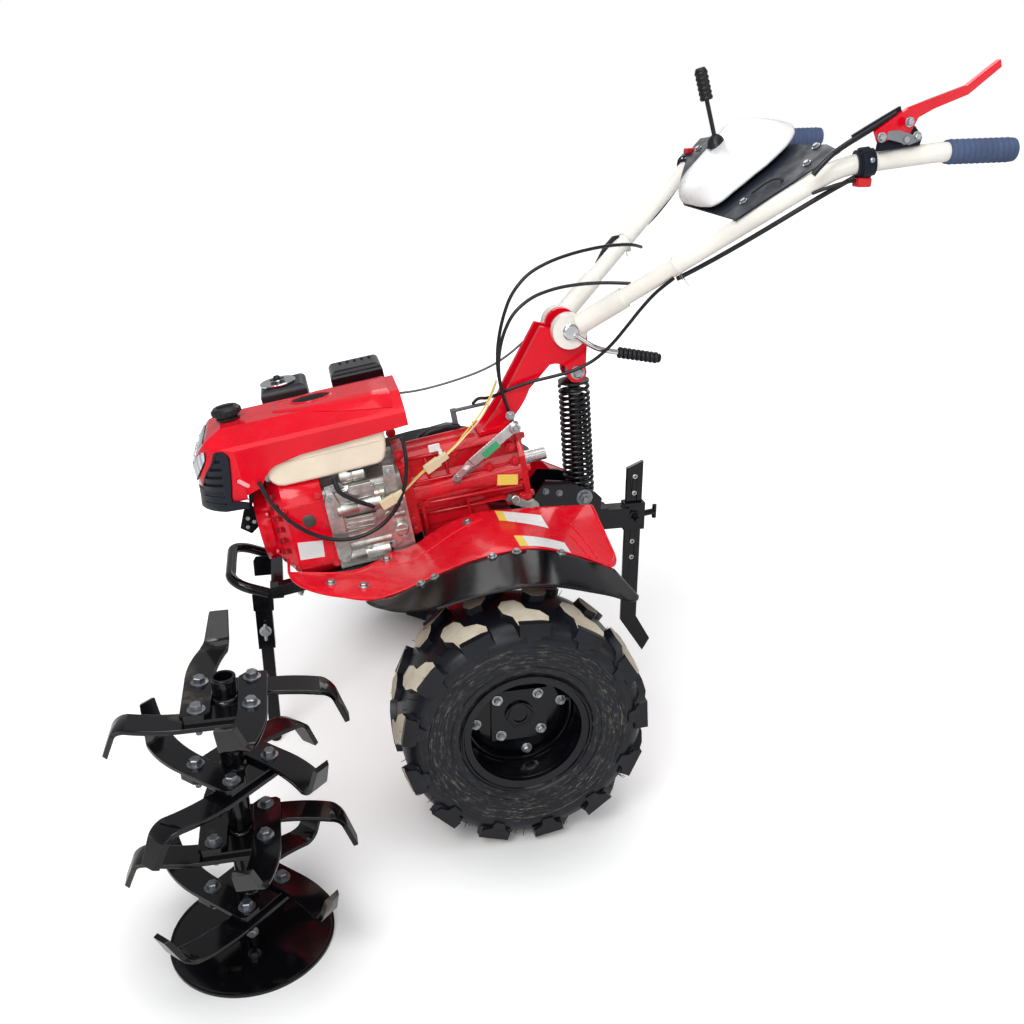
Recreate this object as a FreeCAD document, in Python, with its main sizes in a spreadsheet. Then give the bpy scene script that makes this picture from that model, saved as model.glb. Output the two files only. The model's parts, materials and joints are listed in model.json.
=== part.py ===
"""Walk-behind petrol tiller with a taken-off tine rotor standing beside it.

Millimetres.  +X is the way the machine drives, +Y its left side and +Z up.  The floor is z = 0.
The chassis frame has its zero on the floor below the middle of the axle, and the sheet's axle_x
and middle_y put that frame in the model.  Engine and gear case share a second frame, on the
crankshaft line at the flange between them, which leans nose-down by engine_tilt.
"""
import FreeCAD, Part
import math
import os
import re
import Sketcher

V = FreeCAD.Vector
document = FreeCAD.newDocument("rotary_tiller")
sheet = document.addObject("Spreadsheet::Sheet", "Sizes")

SIZES = [
    # where the two frames and the loose rotor are
    ("axle_x", 116.85), ("middle_y", -149.85),
    ("flange_x", 155.0), ("flange_z", 530.0), ("engine_tilt", 10.0),
    ("rotor_x", 497.0), ("rotor_y", 648.0),
    # wheels
    ("wheel_radius", 235.0), ("tyre_width", 178.0), ("track_half", 441.0), ("tyre_wall", 12.0),
    ("rim_radius", 106.0), ("rim_lip", 13.0), ("rim_width", 150.0), ("rim_steel", 4.0),
    ("dish_radius", 96.0), ("hub_plate", 104.0), ("hub_plate_thick", 8.0),
    ("hub_sleeve_radius", 27.0), ("hub_start", 176.0), ("shaft_radius", 14.0),
    ("journal_radius", 22.0), ("running_clearance", 0.05),
    # engine
    ("case_length", 157.0), ("case_near", 112.0), ("case_far", 70.0), ("case_low", -104.0),
    ("case_top", 74.0), ("fan_length", 113.0), ("fan_radius", 118.0), ("fan_chamfer", 34.0),
    ("recoil_radius", 82.0), ("recoil_depth", 26.0),
    ("fin_pitch", 13.0), ("vent_low", -44.0), ("vent_pitch", 24.0), ("vent_height", 12.0),
    ("hood_rear", -38.0), ("hood_half", 115.0), ("hood_crease", 198.0), ("hood_top", 227.0),
    ("hood_nose", 388.0), ("hood_wall", 3.0), ("hood_low", 167.0),
    ("tank_front", 262.0), ("tank_low", 104.0), ("tank_half", 107.0),
    ("slat_low", 118.0), ("slat_pitch", 10.5), ("slat_gap", 4.0),
    # gear case
    ("upper_length", 262.0), ("upper_half", 62.0), ("upper_top", 84.0), ("upper_low", -78.0),
    ("lower_half", 46.0), ("boss_end", 108.0), ("boss_radius", 46.0),
    ("pto_radius", 14.0), ("pto_length", 56.0),
    # front frame and stand
    ("rail_y", 95.0), ("rail_size", 24.0), ("bumper_tube", 10.5), ("stand_x", 456.0),
    ("stand_y", 70.0), ("leg_size", 25.0), ("sleeve_wall", 4.0), ("slide_gap", 0.5),
    ("sleeve_top", 345.0), ("sleeve_length", 118.0),
    # fenders
    ("fender_steel", 3.0), ("fender_inner", 112.0), ("fender_seam", 336.0),
    ("flare_outer", 482.0),
    # handlebar
    ("pivot_x", -194.0), ("pivot_z", 856.0), ("disc_radius", 36.0), ("cheek_half", 32.0),
    ("disc_thick", 22.0), ("bar_radius", 17.0), ("sleeve_radius", 21.0), ("grip_radius", 20.0),
    ("grip_y", 350.0), ("grip_end", -906.0), ("grip_length", 140.0), ("grip_z", 1208.0),
    ("pivot_bolt", 8.0), ("bar_slope", 38.6),
    # spring and hitch
    ("spring_x", -236.0), ("spring_low", 500.0), ("spring_length", 238.0), ("spring_lean", 4.3),
    ("spring_radius", 35.0), ("spring_wire", 4.5), ("eye_height", 266.0), ("arm_size", 46.0),
    ("arm_z", 424.0), ("bar_x", -363.0),
    ("depth_width", 37.0), ("depth_thick", 11.0), ("depth_top", 552.0), ("hole_pitch", 39.0),
    # tine rotor
    ("rotor_tube", 18.0), ("rotor_height", 494.0), ("star_pitch", 119.3), ("star_top", 453.0),
    ("star_plate", 112.0), ("star_thick", 8.0), ("tine_width", 44.0), ("tine_thick", 8.0),
    ("tine_root", 56.0), ("tine_bend_x", 140.0), ("tine_bend", 20.0), ("tine_turn", 68.0),
    ("flap_length", 42.0), ("disc_size", 133.0), ("disc_steel", 5.0),
]
for row, (alias, number) in enumerate(SIZES, start=1):
    sheet.set(f"A{row}", alias)
    sheet.set(f"B{row}", str(number))
    sheet.setAlias(f"B{row}", alias)
document.recompute()


# --- How pieces are made -----------------------------------------------------------------------

FRAMES = {
    # name: (x, y, z, axis turned about, angle)
    "chassis": ("axle_x", "middle_y", "0", V(0, 0, 1), "0"),
    "engine": ("axle_x + flange_x", "middle_y", "flange_z", V(0, 1, 0), "engine_tilt"),
    "left wheel": ("axle_x", "middle_y + track_half", "wheel_radius", V(0, 0, 1), "0"),
    "right wheel": ("axle_x", "middle_y - track_half", "wheel_radius", V(0, 0, 1), "180"),
    "rotor": ("axle_x + rotor_x", "middle_y + rotor_y", "0", V(0, 0, 1), "0"),
}
ALONG = {
    "x": FreeCAD.Rotation(V(0, 1, 0), 90),
    "y": FreeCAD.Rotation(V(1, 0, 0), -90),
    "z": FreeCAD.Rotation(),
}
sub_parts = []


def qualified(formula):
    """The formula with each of its names written as a cell of the sheet."""
    return re.sub(r"\b(?!(?:sin|cos|tan|sqrt|abs)\b)[a-z][a-z_]*\b", r"Sizes.\g<0>", str(formula))


def size(formula):
    """What a formula of the sheet's names comes to."""
    return float(sheet.evalExpression(qualified(formula)))


def bind(item, path, formula):
    """Tie one property of an object to the sheet."""
    item.setExpression(path, qualified(formula))


def put(item, at):
    """Tie an object's place to three formulas."""
    for letter, formula in zip("xyz", at):
        bind(item, f".Placement.Base.{letter}", formula)
    return item


def settle(item, label, frame):
    """Name a finished sub-part and set it in its frame."""
    x, y, z, axis, angle = FRAMES[frame]
    item.Placement = FreeCAD.Placement(V(), FreeCAD.Rotation(axis, size(angle)))
    put(item, (x, y, z))
    if angle != "0":
        bind(item, ".Placement.Rotation.Angle", angle)
    item.Label = label
    sub_parts.append(item)
    return item


def cylinder(radius, length, at=(0, 0, 0), along="z"):
    """A round bar that starts at a point and runs along an axis."""
    bar = document.addObject("Part::Cylinder", "Bar")
    bind(bar, "Radius", radius)
    bind(bar, "Height", length)
    bar.Placement = FreeCAD.Placement(V(), ALONG[along])
    return put(bar, at)


def block(lengths, at):
    """A box by its three lengths and its lowest corner."""
    box = document.addObject("Part::Box", "Block")
    for name, formula in zip(("Length", "Width", "Height"), lengths):
        bind(box, name, formula)
    return put(box, at)


def union(items):
    """One shape of several that meet."""
    joined = document.addObject("Part::MultiFuse", "Joined")
    joined.Shapes = items
    return joined


def less(base, tool):
    """The base without the tool."""
    cut = document.addObject("Part::Cut", "Cut")
    cut.Base = base
    cut.Tool = tool
    return cut


def group(items):
    """Separate solids of one sub-part, kept apart."""
    kept = document.addObject("Part::Compound", "Group")
    kept.Links = items
    return kept


def rounded(item, radius, pick):
    """Round the edges of a shape that pick(edge) chooses."""
    document.recompute()
    chosen = [i for i, edge in enumerate(item.Shape.Edges, start=1) if pick(edge)]
    fillet = document.addObject("Part::Fillet", "Rounded")
    fillet.Base = item
    fillet.Edges = [(i, size(radius), size(radius)) for i in chosen]
    return fillet


def new_body(label):
    """An empty PartDesign body."""
    return document.addObject("PartDesign::Body", label)


def sketch_on(body, plane, offset="0"):
    """A sketch on one of the body's origin planes, moved along +X, +Y or +Z by the offset."""
    support = next(f for f in body.Origin.OriginFeatures if f.Role == plane + "_Plane")
    sketch = body.newObject("Sketcher::SketchObject", "Sketch")
    sketch.AttachmentSupport = [(support, "")]
    sketch.MapMode = "FlatFace"
    sign = "-1" if plane == "XZ" else "1"
    bind(sketch, ".AttachmentOffset.Base.z", f"{sign} * ({offset})")
    return sketch


def pin(sketch, piece, end, corner):
    """Hold one end of a sketch line at two formulas."""
    for kind, formula in zip(("DistanceX", "DistanceY"), corner):
        number = sketch.addConstraint(Sketcher.Constraint(kind, -1, 1, piece, end, size(formula)))
        bind(sketch, f"Constraints[{number}]", formula)


def outline(sketch, corners):
    """Close a loop through corners (x, y), or (x, y, r) where the side that ends there is an arc.

    A positive r turns the arc to the left as the loop runs, and a negative one to the right.
    """
    points = [V(size(corner[0]), size(corner[1]), 0) for corner in corners]
    ends = []
    for i, start in enumerate(points):
        corner = corners[(i + 1) % len(corners)]
        finish = points[(i + 1) % len(corners)]
        if len(corner) == 2:
            side = sketch.addGeometry(Part.LineSegment(start, finish), False)
            ends.append((side, 1, 2))
            continue
        radius = size(corner[2])
        chord = finish - start
        left = V(-chord.y, chord.x, 0).normalize()
        reach = math.sqrt(radius ** 2 - chord.Length ** 2 / 4)
        centre = start + chord * 0.5 + left * math.copysign(reach, radius)
        first, last = (start, finish) if radius > 0 else (finish, start)
        angles = [math.atan2((p - centre).y, (p - centre).x) for p in (first, last)]
        arc = Part.ArcOfCircle(Part.Circle(centre, V(0, 0, 1), abs(radius)), *angles)
        side = sketch.addGeometry(arc, False)
        ends.append((side, 1, 2) if radius > 0 else (side, 2, 1))
        number = sketch.addConstraint(Sketcher.Constraint("Radius", side, abs(radius)))
        bind(sketch, f"Constraints[{number}]", f"abs({corner[2]})" if radius < 0 else corner[2])
    for i, (side, start, finish) in enumerate(ends):
        following, begin, _ = ends[(i + 1) % len(ends)]
        sketch.addConstraint(Sketcher.Constraint("Coincident", side, finish, following, begin))
        pin(sketch, side, start, corners[i])
    return sketch


def ring(sketch, radius, x="0", y="0"):
    """A circle in a sketch."""
    circle = Part.Circle(V(size(x), size(y), 0), V(0, 0, 1), size(radius))
    piece = sketch.addGeometry(circle, False)
    number = sketch.addConstraint(Sketcher.Constraint("Radius", piece, size(radius)))
    bind(sketch, f"Constraints[{number}]", radius)
    pin(sketch, piece, 3, (x, y))
    return sketch


def grow(body, kind, sketch, length, centred=False, reverse=False):
    """Pad or pocket a sketch by a length."""
    feature = body.newObject("PartDesign::" + kind, kind)
    feature.Profile = sketch
    bind(feature, "Length", length)
    if centred:
        feature.Midplane = True
    feature.Reversed = reverse
    return feature


def spin(body, kind, sketch, axis="V_Axis"):
    """Revolve or groove a sketch about one of its own axes."""
    feature = body.newObject("PartDesign::" + kind, kind)
    feature.Profile = sketch
    feature.ReferenceAxis = (sketch, [axis])
    feature.Angle = 360
    return feature


def turned(label, corners, plane="XY", axis="V_Axis"):
    """A body of revolution from one outline."""
    body = new_body(label)
    spin(body, "Revolution", outline(sketch_on(body, plane), corners), axis)
    return body


def padded(label, plane, corners, length, offset="0", centred=False, reverse=False):
    """A body of one padded outline."""
    body = new_body(label)
    sketch = outline(sketch_on(body, plane, offset), corners)
    grow(body, "Pad", sketch, length, centred, reverse)
    return body


def route(points, bend=None):
    """Straight runs through the points with a tangent arc at each turn.

    An arc takes 0.45 of the shorter run beside it, or has the radius given.
    """
    edges = []
    here = points[0]
    for before, corner, after in zip(points, points[1:], points[2:]):
        back = before - corner
        onward = after - corner
        turn = math.pi - back.getAngle(onward)
        reach = 0.45 * min(back.Length, onward.Length)
        if bend:
            reach = bend * math.tan(turn / 2)
        entry = corner + back * (reach / back.Length)
        leave = corner + onward * (reach / onward.Length)
        radius = reach / math.tan(turn / 2)
        inward = (back.normalize() + onward.normalize()).normalize()
        middle = corner + inward * (radius / math.cos(turn / 2) - radius)
        edges.append(Part.LineSegment(here, entry).toShape())
        edges.append(Part.Arc(entry, middle, leave).toShape())
        here = leave
    edges.append(Part.LineSegment(here, points[-1]).toShape())
    return Part.Wire(edges)


def swept(path, radius):
    """A round bar along a path."""
    start = path.Edges[0]
    heading = start.tangentAt(start.FirstParameter)
    rim = Part.Circle(start.valueAt(start.FirstParameter), heading, radius)
    return path.makePipeShell([Part.Wire([rim.toShape()])], True, True)


def feature(label, shape):
    """A sub-part whose shape comes straight from Part."""
    item = document.addObject("Part::Feature", label)
    item.Shape = shape
    return item


# --- Wheels --------------------------------------------------------------------------------------
# Each wheel frame has its zero in the middle of the wheel, with +Y away from the machine.

def make_wheel(side):
    """Tyre, dished rim, hub and half shaft of one side."""
    frame = f"{side} wheel"
    bead = "rim_width / 2 - rim_steel"
    half = "tyre_width / 2"
    tyre = turned(f"tyre_{side}", [
        ("rim_radius", f"-({bead})"),
        ("rim_radius + rim_lip + 1", f"-({bead}) - 1"),
        ("rim_radius + rim_lip + 8", f"8 - {half}"),
        ("wheel_radius - 62", f"-{half}"),
        ("wheel_radius - 20", f"4 - {half}"),
        ("wheel_radius - 3", f"23 - {half}"),
        ("wheel_radius", f"46 - {half}"),
        ("wheel_radius", f"{half} - 46"),
        ("wheel_radius - 3", f"{half} - 23"),
        ("wheel_radius - 20", f"{half} - 4"),
        ("wheel_radius - 62", half),
        ("rim_radius + rim_lip + 8", f"{half} - 8"),
        ("rim_radius + rim_lip + 1", f"{bead} + 1"),
        ("rim_radius", bead),
        ("rim_radius", f"{bead} - tyre_wall"),
        ("rim_radius + 18", f"{bead} - tyre_wall + 2"),
        ("wheel_radius - 30", f"{half} - tyre_wall - 4"),
        ("wheel_radius - tyre_wall", f"{half} - 34"),
        ("wheel_radius - tyre_wall", f"34 - {half}"),
        ("wheel_radius - 30", f"tyre_wall + 4 - {half}"),
        ("rim_radius + 18", f"tyre_wall - 2 - ({bead})"),
        ("rim_radius", f"tyre_wall - ({bead})"),
    ])
    settle(tyre, f"tyre_{side}", frame)

    edge = "rim_width / 2"
    rim = turned(f"rim_{side}", [
        ("rim_radius + rim_lip", f"-({edge}) - 4"),
        ("rim_radius + rim_lip", f"-({edge})"),
        ("rim_radius", f"rim_steel - {edge}"),
        ("rim_radius", f"{edge} - rim_steel"),
        ("rim_radius + rim_lip", edge),
        ("rim_radius + rim_lip", f"{edge} + 4"),
        ("rim_radius - rim_steel", f"{edge} - 1"),
        ("rim_radius - rim_steel", "-rim_steel"),
        ("dish_radius - 16", "rim_steel"),
        ("hub_sleeve_radius", "rim_steel"),
        ("hub_sleeve_radius", "0"),
        ("dish_radius - 18", "0"),
        ("rim_radius - rim_steel", "-3 * rim_steel"),
        ("rim_radius - rim_steel", f"1 - {edge}"),
    ])
    settle(rim, f"rim_{side}", frame)

    inboard = "hub_start - track_half"
    hub = new_body(f"hub_{side}")
    plate = "hub_plate / 2"
    square = [(plate, plate), (f"-{plate}", plate), (f"-{plate}", f"-{plate}"), (plate, f"-{plate}")]
    plate_face = "rim_steel + hub_plate_thick"
    grow(hub, "Pad", outline(sketch_on(hub, "XZ", plate_face), square), "hub_plate_thick")
    barrel_face = f"{plate_face} + 6"
    grow(hub, "Pad", ring(sketch_on(hub, "XZ", barrel_face), "hub_sleeve_radius"),
         f"{barrel_face} - ({inboard})")
    grow(hub, "Pocket", ring(sketch_on(hub, "XZ", barrel_face), "shaft_radius"),
         f"{barrel_face} - ({inboard}) + 1", reverse=True)
    settle(hub, f"hub_{side}", frame)

    inner_end = "boss_end - 60 - track_half"
    journal_end = "boss_end + 4 - track_half"
    shaft = union([
        cylinder("journal_radius", f"{journal_end} - ({inner_end})", ("0", inner_end, "0"), "y"),
        cylinder("shaft_radius", f"{plate_face} + 2 - ({inner_end})", ("0", inner_end, "0"), "y"),
    ])
    settle(shaft, f"half_shaft_{side}", frame)


for wheel_side in ("left", "right"):
    make_wheel(wheel_side)


# --- Engine --------------------------------------------------------------------------------------
# The engine frame's X is the crankshaft, forward and down; its zero is on the flange.

def near_corner(edge):
    """An edge that runs along the crankshaft."""
    tangent = edge.tangentAt(edge.FirstParameter)
    return abs(tangent.x) > 0.999 and edge.Length > 40


FINS = 8
crankcase = rounded(block(("case_length", "case_near + case_far", "case_top - case_low"),
                          ("0", "-case_far", "case_low")), "12", near_corner)
near_side = [
    cylinder("18", "98", ("40", "case_near - 6", "24"), "x"),
    cylinder("13", "100", ("44", "case_near - 7", "-56"), "x"),
    cylinder("14", "9", ("21", "case_near - 1", "-40"), "y"),
    cylinder("9", "13", ("21", "case_near - 1", "-40"), "y"),
    block(("54", "8", "72"), ("8", "case_near - 1", "-16")),
    block(("84", "6", "30"), ("66", "case_near - 1", "-36")),
]
for number in range(3):
    near_side.append(block(("78", "9", "3"), ("69", "case_near - 1", f"-34 + {number} * 10")))
settle(union([crankcase] + near_side), "crankcase", "engine")

barrel = [block(("74", "112", "tank_low + 6"), ("26", "-case_far - 112.3", "-20"))]
for number in range(FINS):
    fin_at = f"-case_far - 14 - {number} * fin_pitch"
    barrel.append(block(("100", "4", "tank_low + 33.7"), ("13", fin_at, "-34")))
settle(union(barrel), "cylinder_head", "engine")


def fan_section(sheet_offset, inset):
    """Outline of the fan cover across the crankshaft."""
    wide = f"fan_radius - {inset}"
    low = f"case_low + {inset}"
    return outline(sketch_on(fan_cover, "YZ", sheet_offset), [
        (wide, f"{low} + 28"), (wide, "58"), ("58", wide, f"90 - {inset}"),
        ("-58", wide), (f"{inset} - fan_radius", "58", f"90 - {inset}"),
        (f"{inset} - fan_radius", f"{low} + 28"), (f"28 + {inset} - fan_radius", low),
        (f"fan_radius - {inset} - 28", low),
    ])


fan_cover = new_body("FanForm")
grow(fan_cover, "Pad", fan_section("case_length", "0"), "fan_length - fan_chamfer")
nose = fan_cover.newObject("PartDesign::AdditiveLoft", "Nose")
nose.Profile = fan_section("case_length + fan_length - fan_chamfer", "0")
nose.Sections = [fan_section("case_length + fan_length", "fan_chamfer - 8")]
nose.Ruled = True
recoil = ring(sketch_on(fan_cover, "YZ", "case_length + fan_length"), "recoil_radius")
grow(fan_cover, "Pad", recoil, "recoil_depth")

VENTS = 6
vents = []
for number in range(VENTS):
    low = f"vent_low + {number} * vent_pitch"
    vents.append(block(("20", "40", "vent_height"), ("244", "fan_radius - 20", low)))
    vents.append(block(("20", "40", "vent_height"), ("244", "-fan_radius - 20", low)))
settle(less(fan_cover, union(vents)), "fan_cover", "engine")

# The hood is what three outlines have in common: from the side, from above and from the front.


def hood_volume(inset):
    """The hood's outer form, or its hollow when inset by the wall."""
    open_below = "0" if inset == "0" else "40"
    from_side = padded("HoodSide", "XZ", [
        (f"hood_rear + {inset}", f"hood_low - {open_below}"),
        ("178", f"158 - {open_below}"),
        ("228", f"148 - {open_below}"),
        ("262", f"112 - {open_below}", "-60"),
        ("316", f"96 - {open_below}"),
        (f"hood_nose - {inset} - 2", f"78 - {open_below}"),
        (f"hood_nose - {inset}", "150"),
        (f"346 - {inset}", f"hood_top - {inset} - 12", "120"),
        (f"316 - {inset}", f"hood_top - {inset}"),
        (f"hood_rear + {inset}", f"hood_top - {inset} - 2"),
    ], "2 * hood_half + 40", centred=True)
    from_above = padded("HoodPlan", "XY", [
        (f"hood_rear + {inset}", f"{inset} - hood_half"),
        ("296", f"{inset} - hood_half"),
        (f"hood_nose - {inset} + 4", "0", "118"),
        ("296", f"hood_half - {inset}", "118"),
        (f"hood_rear + {inset}", f"hood_half - {inset}"),
    ], "hood_top + 40")
    side = f"hood_half - {inset}"
    from_front = padded("HoodFront", "YZ", [
        (side, "0"), (side, "hood_crease - 4"), (f"{side} - 8", f"hood_crease + 3 - {inset}"),
        (f"{side} - 50", f"hood_top - {inset} - 5"), (f"{side} - 60", f"hood_top - {inset}"),
        (f"60 - ({side})", f"hood_top - {inset}"), (f"50 - ({side})", f"hood_top - {inset} - 5"),
        (f"8 - ({side})", f"hood_crease + 3 - {inset}"), (f"-({side})", "hood_crease - 4"),
        (f"-({side})", "0"),
    ], "hood_nose - hood_rear + 60", "hood_rear - 30")
    common = document.addObject("Part::MultiCommon", "HoodVolume")
    common.Shapes = [from_side, from_above, from_front]
    return common


hood_shell = less(hood_volume("0"), hood_volume("hood_wall"))
SLATS = 6
lamp_region = block(("90", "96", "94"), ("335", "-48", "118"))
grille_region = union([
    block(("110", "64", "96"), ("298", "56", "90")),
    block(("110", "64", "96"), ("298", "-120", "90")),
    block(("110", "240", "34"), ("298", "-120", "76")),
])


def part_of_shell(label, region):
    """The stretch of the hood shell inside a region, as a piece of its own."""
    common = document.addObject("Part::MultiCommon", label)
    common.Shapes = [hood_shell, region]
    return settle(common, label, "engine")


settle(less(hood_shell, union([lamp_region, grille_region])), "hood", "engine")
part_of_shell("headlight", lamp_region)
slots = []
for number in range(SLATS):
    low = f"slat_low + {number} * slat_pitch"
    slots.append(block(("60", "70", "slat_gap"), ("312", "62", low)))
    slots.append(block(("60", "70", "slat_gap"), ("312", "-132", low)))
part_of_shell("grille", less(grille_region, union(slots)))

fuel_tank = padded("TankForm", "XZ", [
    ("hood_rear + 10", "tank_low + 14"), ("tank_front - 26", "tank_low"),
    ("tank_front", "tank_low + 26", "27"), ("tank_front", "hood_crease - 16"),
    ("hood_rear + 10", "hood_crease - 16"),
], "2 * tank_half", centred=True)
tank_with_pads = union([
    fuel_tank,
    block(("90", "2 * (hood_half - hood_wall) - 0.6", "8"), ("60", "hood_wall + 0.3 - hood_half", "172")),
    block(("70", "80", "tank_low - case_top + 14"), ("24", "-40", "case_top + 0.3")),
])
over_fan = block(("fan_length + 20", "190", "60"), ("case_length - 1", "-95", "fan_radius - 59.7"))
settle(less(tank_with_pads, over_fan), "fuel_tank", "engine")

fuel_cap = turned("CapForm", [
    ("0", "hood_top + 0.3"), ("20", "hood_top + 0.3"), ("20", "hood_top + 9"), ("28", "hood_top + 12"),
    ("28", "hood_top + 22"), ("24", "hood_top + 26"), ("0", "hood_top + 27"),
], plane="XZ")
settle(group([put(fuel_cap, ("301", "0", "0"))]), "fuel_cap", "engine")

air_cleaner = rounded(block(("98", "104", "83"), ("140", "-hood_half - 104.5", "152")), "14",
                      lambda edge: edge.BoundBox.ZMin > 200)
air_cover = cylinder("31", "5", ("198", "-hood_half - 46", "234.7"))
air_knob = cylinder("6", "12", ("198", "-hood_half - 46", "239.7"))
settle(union([air_cleaner, air_cover, air_knob]), "air_cleaner", "engine")

muffler_guard = rounded(block(("112", "100", "80"), ("-24", "-hood_half - 100.5", "162")), "16",
                        lambda edge: edge.BoundBox.ZMin > 200)
guard_slots = union([block(("6", "52", "4"), (f"-6 + {number} * 16", "-hood_half - 80", "239"))
                     for number in range(5)])
settle(less(muffler_guard, guard_slots), "muffler_guard", "engine")


# --- Gear case -----------------------------------------------------------------------------------

upper = new_body("UpperCase")
grow(upper, "Pad", outline(sketch_on(upper, "YZ", "-0.2"), [
    ("74", "upper_low"), ("74", "66"), ("50", "90"), ("-50", "90"), ("-74", "66"), ("-74", "upper_low"),
]), "22", reverse=True)
grow(upper, "Pad", outline(sketch_on(upper, "YZ", "-22"), [
    ("upper_half - 12", "upper_low"), ("upper_half - 12", "-52"), ("upper_half - 2", "-26", "22"),
    ("upper_half - 6", "18", "26"), ("upper_half - 14", "34"), ("upper_half - 14", "upper_top - 12"),
    ("upper_half - 26", "upper_top"), ("26 - upper_half", "upper_top"),
    ("14 - upper_half", "upper_top - 12"), ("14 - upper_half", "34"), ("6 - upper_half", "18"),
    ("2 - upper_half", "-26", "26"), ("12 - upper_half", "-52", "22"), ("12 - upper_half", "upper_low"),
]), "upper_length - 34", reverse=True)
grow(upper, "Pad", outline(sketch_on(upper, "YZ", "12 - upper_length"), [
    ("upper_half + 6", "upper_low"), ("upper_half + 6", "30"), ("upper_half - 14", "upper_top + 4"),
    ("14 - upper_half", "upper_top + 4"), ("-6 - upper_half", "30"), ("-6 - upper_half", "upper_low"),
]), "12", reverse=True)
ribs = []
for rib_side in ("upper_half - 14", "-upper_half - 6"):
    ribs.append(block(("6", "20", "62"), ("-36", rib_side, "upper_low + 2")))
    ribs.append(block(("5", "20", "40"), ("-130", rib_side, "upper_low + 2")))
ribs.append(block(("150", "6", "6"), ("-172", "18", "upper_top - 1")))
ribs.append(block(("150", "6", "6"), ("-172", "-24", "upper_top - 1")))
settle(union([upper] + ribs), "gearbox_upper", "engine")

settle(group([cylinder("pto_radius", "pto_length", ("-upper_length - pto_length", "0", "0"), "x")]),
       "pto_shaft", "engine")


lower = new_body("gearbox_lower")


def under_case(along, drop="0.2"):
    """A point of the chassis frame on the upper case's flat underside, a gap below it."""
    down = f"(upper_low - {drop})"
    return (f"flange_x + ({along}) * cos(engine_tilt) + {down} * sin(engine_tilt)",
            f"flange_z - ({along}) * sin(engine_tilt) + {down} * cos(engine_tilt)")


grow(lower, "Pad", outline(sketch_on(lower, "XZ"), [
    under_case("-27"), under_case("-174"), ("-80", "wheel_radius + 4"),
    ("80", "wheel_radius + 4", "81"),
]), "2 * lower_half", centred=True)
for side, sign in (("left", ""), ("right", "-")):
    face = f"{sign}boss_end"
    boss = ring(sketch_on(lower, "XZ", face), "boss_radius", "0", "wheel_radius")
    grow(lower, "Pad", boss, "boss_end - lower_half + 1", reverse=(sign == "-"))
    bore = ring(sketch_on(lower, "XZ", face), "journal_radius + running_clearance", "0", "wheel_radius")
    grow(lower, "Pocket", bore, "boss_end - lower_half + 1", reverse=(sign != "-"))
settle(lower, "gearbox_lower", "chassis")

arm = union([
    cylinder("7", "62 - 48.2", ("-147", "-62", "62"), "y"),
    block(("12", "6", "72"), ("-153", "-62", "52")),
    cylinder("4", "78", ("-222", "-59", "119"), "x"),
])
link = union([
    padded("LinkBar", "XZ", [
        ("-104", "8"), ("-110", "26"), ("-150", "48"), ("-250", "104"), ("-258", "92"), ("-172", "44"),
        ("-150", "28"),
    ], "4", "75"),
    cylinder("6", "4.1", ("-116", "67", "14"), "y"),
])
selector = padded("Selector", "XZ", [
    ("-214", "-44"), ("-206", "-56"), ("-258", "-100"), ("-268", "-88"),
], "6", "74.4")
settle(group([arm, link, selector]), "shift_linkage", "engine")


# --- Front frame, bumper and stand ---------------------------------------------------------------

def levelled(item):
    """Turn an item of the engine frame back to level."""
    item.Placement.Rotation = FreeCAD.Rotation(V(0, -1, 0), size("engine_tilt"))
    bind(item, ".Placement.Rotation.Angle", "engine_tilt")
    return item


def from_chassis(x, z):
    """A point of the chassis frame's side view as the engine frame has it."""
    return (f"(({x}) - flange_x) * cos(engine_tilt) - (({z}) - flange_z) * sin(engine_tilt)",
            f"(({x}) - flange_x) * sin(engine_tilt) + (({z}) - flange_z) * cos(engine_tilt)")


under = "case_low - rail_size - 0.2"
cross_x, cross_z = from_chassis("stand_x - 44", "sleeve_top + 5")
plate_x, plate_z = from_chassis("stand_x - 21.2", "sleeve_top - 30")
engine_bed = union([
    block(("332", "rail_size", "rail_size"), ("-26", "rail_y - rail_size / 2", under)),
    block(("332", "rail_size", "rail_size"), ("-26", "-rail_y - rail_size / 2", under)),
    block(("rail_size", "2 * rail_y", "rail_size"), ("-21", "-rail_y", under)),
    levelled(block(("rail_size", "2 * rail_y + rail_size", "rail_size"),
                   (cross_x, "-rail_y - rail_size / 2", cross_z))),
    levelled(block(("4", "40", "50"), (plate_x, "stand_y - 20", plate_z))),
])
settle(engine_bed, "engine_bed", "engine")

outer = "leg_size / 2 + slide_gap + sleeve_wall"
inner = "leg_size / 2 + slide_gap"
stand_sleeve = less(
    block((f"2 * ({outer})", f"2 * ({outer})", "sleeve_length"),
          (f"stand_x - ({outer})", f"stand_y - ({outer})", "sleeve_top - sleeve_length")),
    block((f"2 * ({inner})", f"2 * ({inner})", "sleeve_length + 2"),
          (f"stand_x - ({inner})", f"stand_y - ({inner})", "sleeve_top - sleeve_length - 1")))
settle(stand_sleeve, "stand_sleeve", "chassis")

stand_leg = union([
    block(("leg_size", "leg_size", "sleeve_top - 10"),
          ("stand_x - leg_size / 2", "stand_y - leg_size / 2", "10")),
    cylinder("12", "leg_size + 14", ("stand_x", "stand_y - leg_size / 2 - 7", "12"), "y"),
])
settle(stand_leg, "stand_leg", "chassis")


def place(x, y, z):
    """A point of the chassis frame in the model."""
    return V(x + size("axle_x"), y + size("middle_y"), z)


def lone(label, shape):
    """A finished sub-part whose shape is already in the model's place."""
    item = feature(label, shape)
    sub_parts.append(item)
    return item


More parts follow.
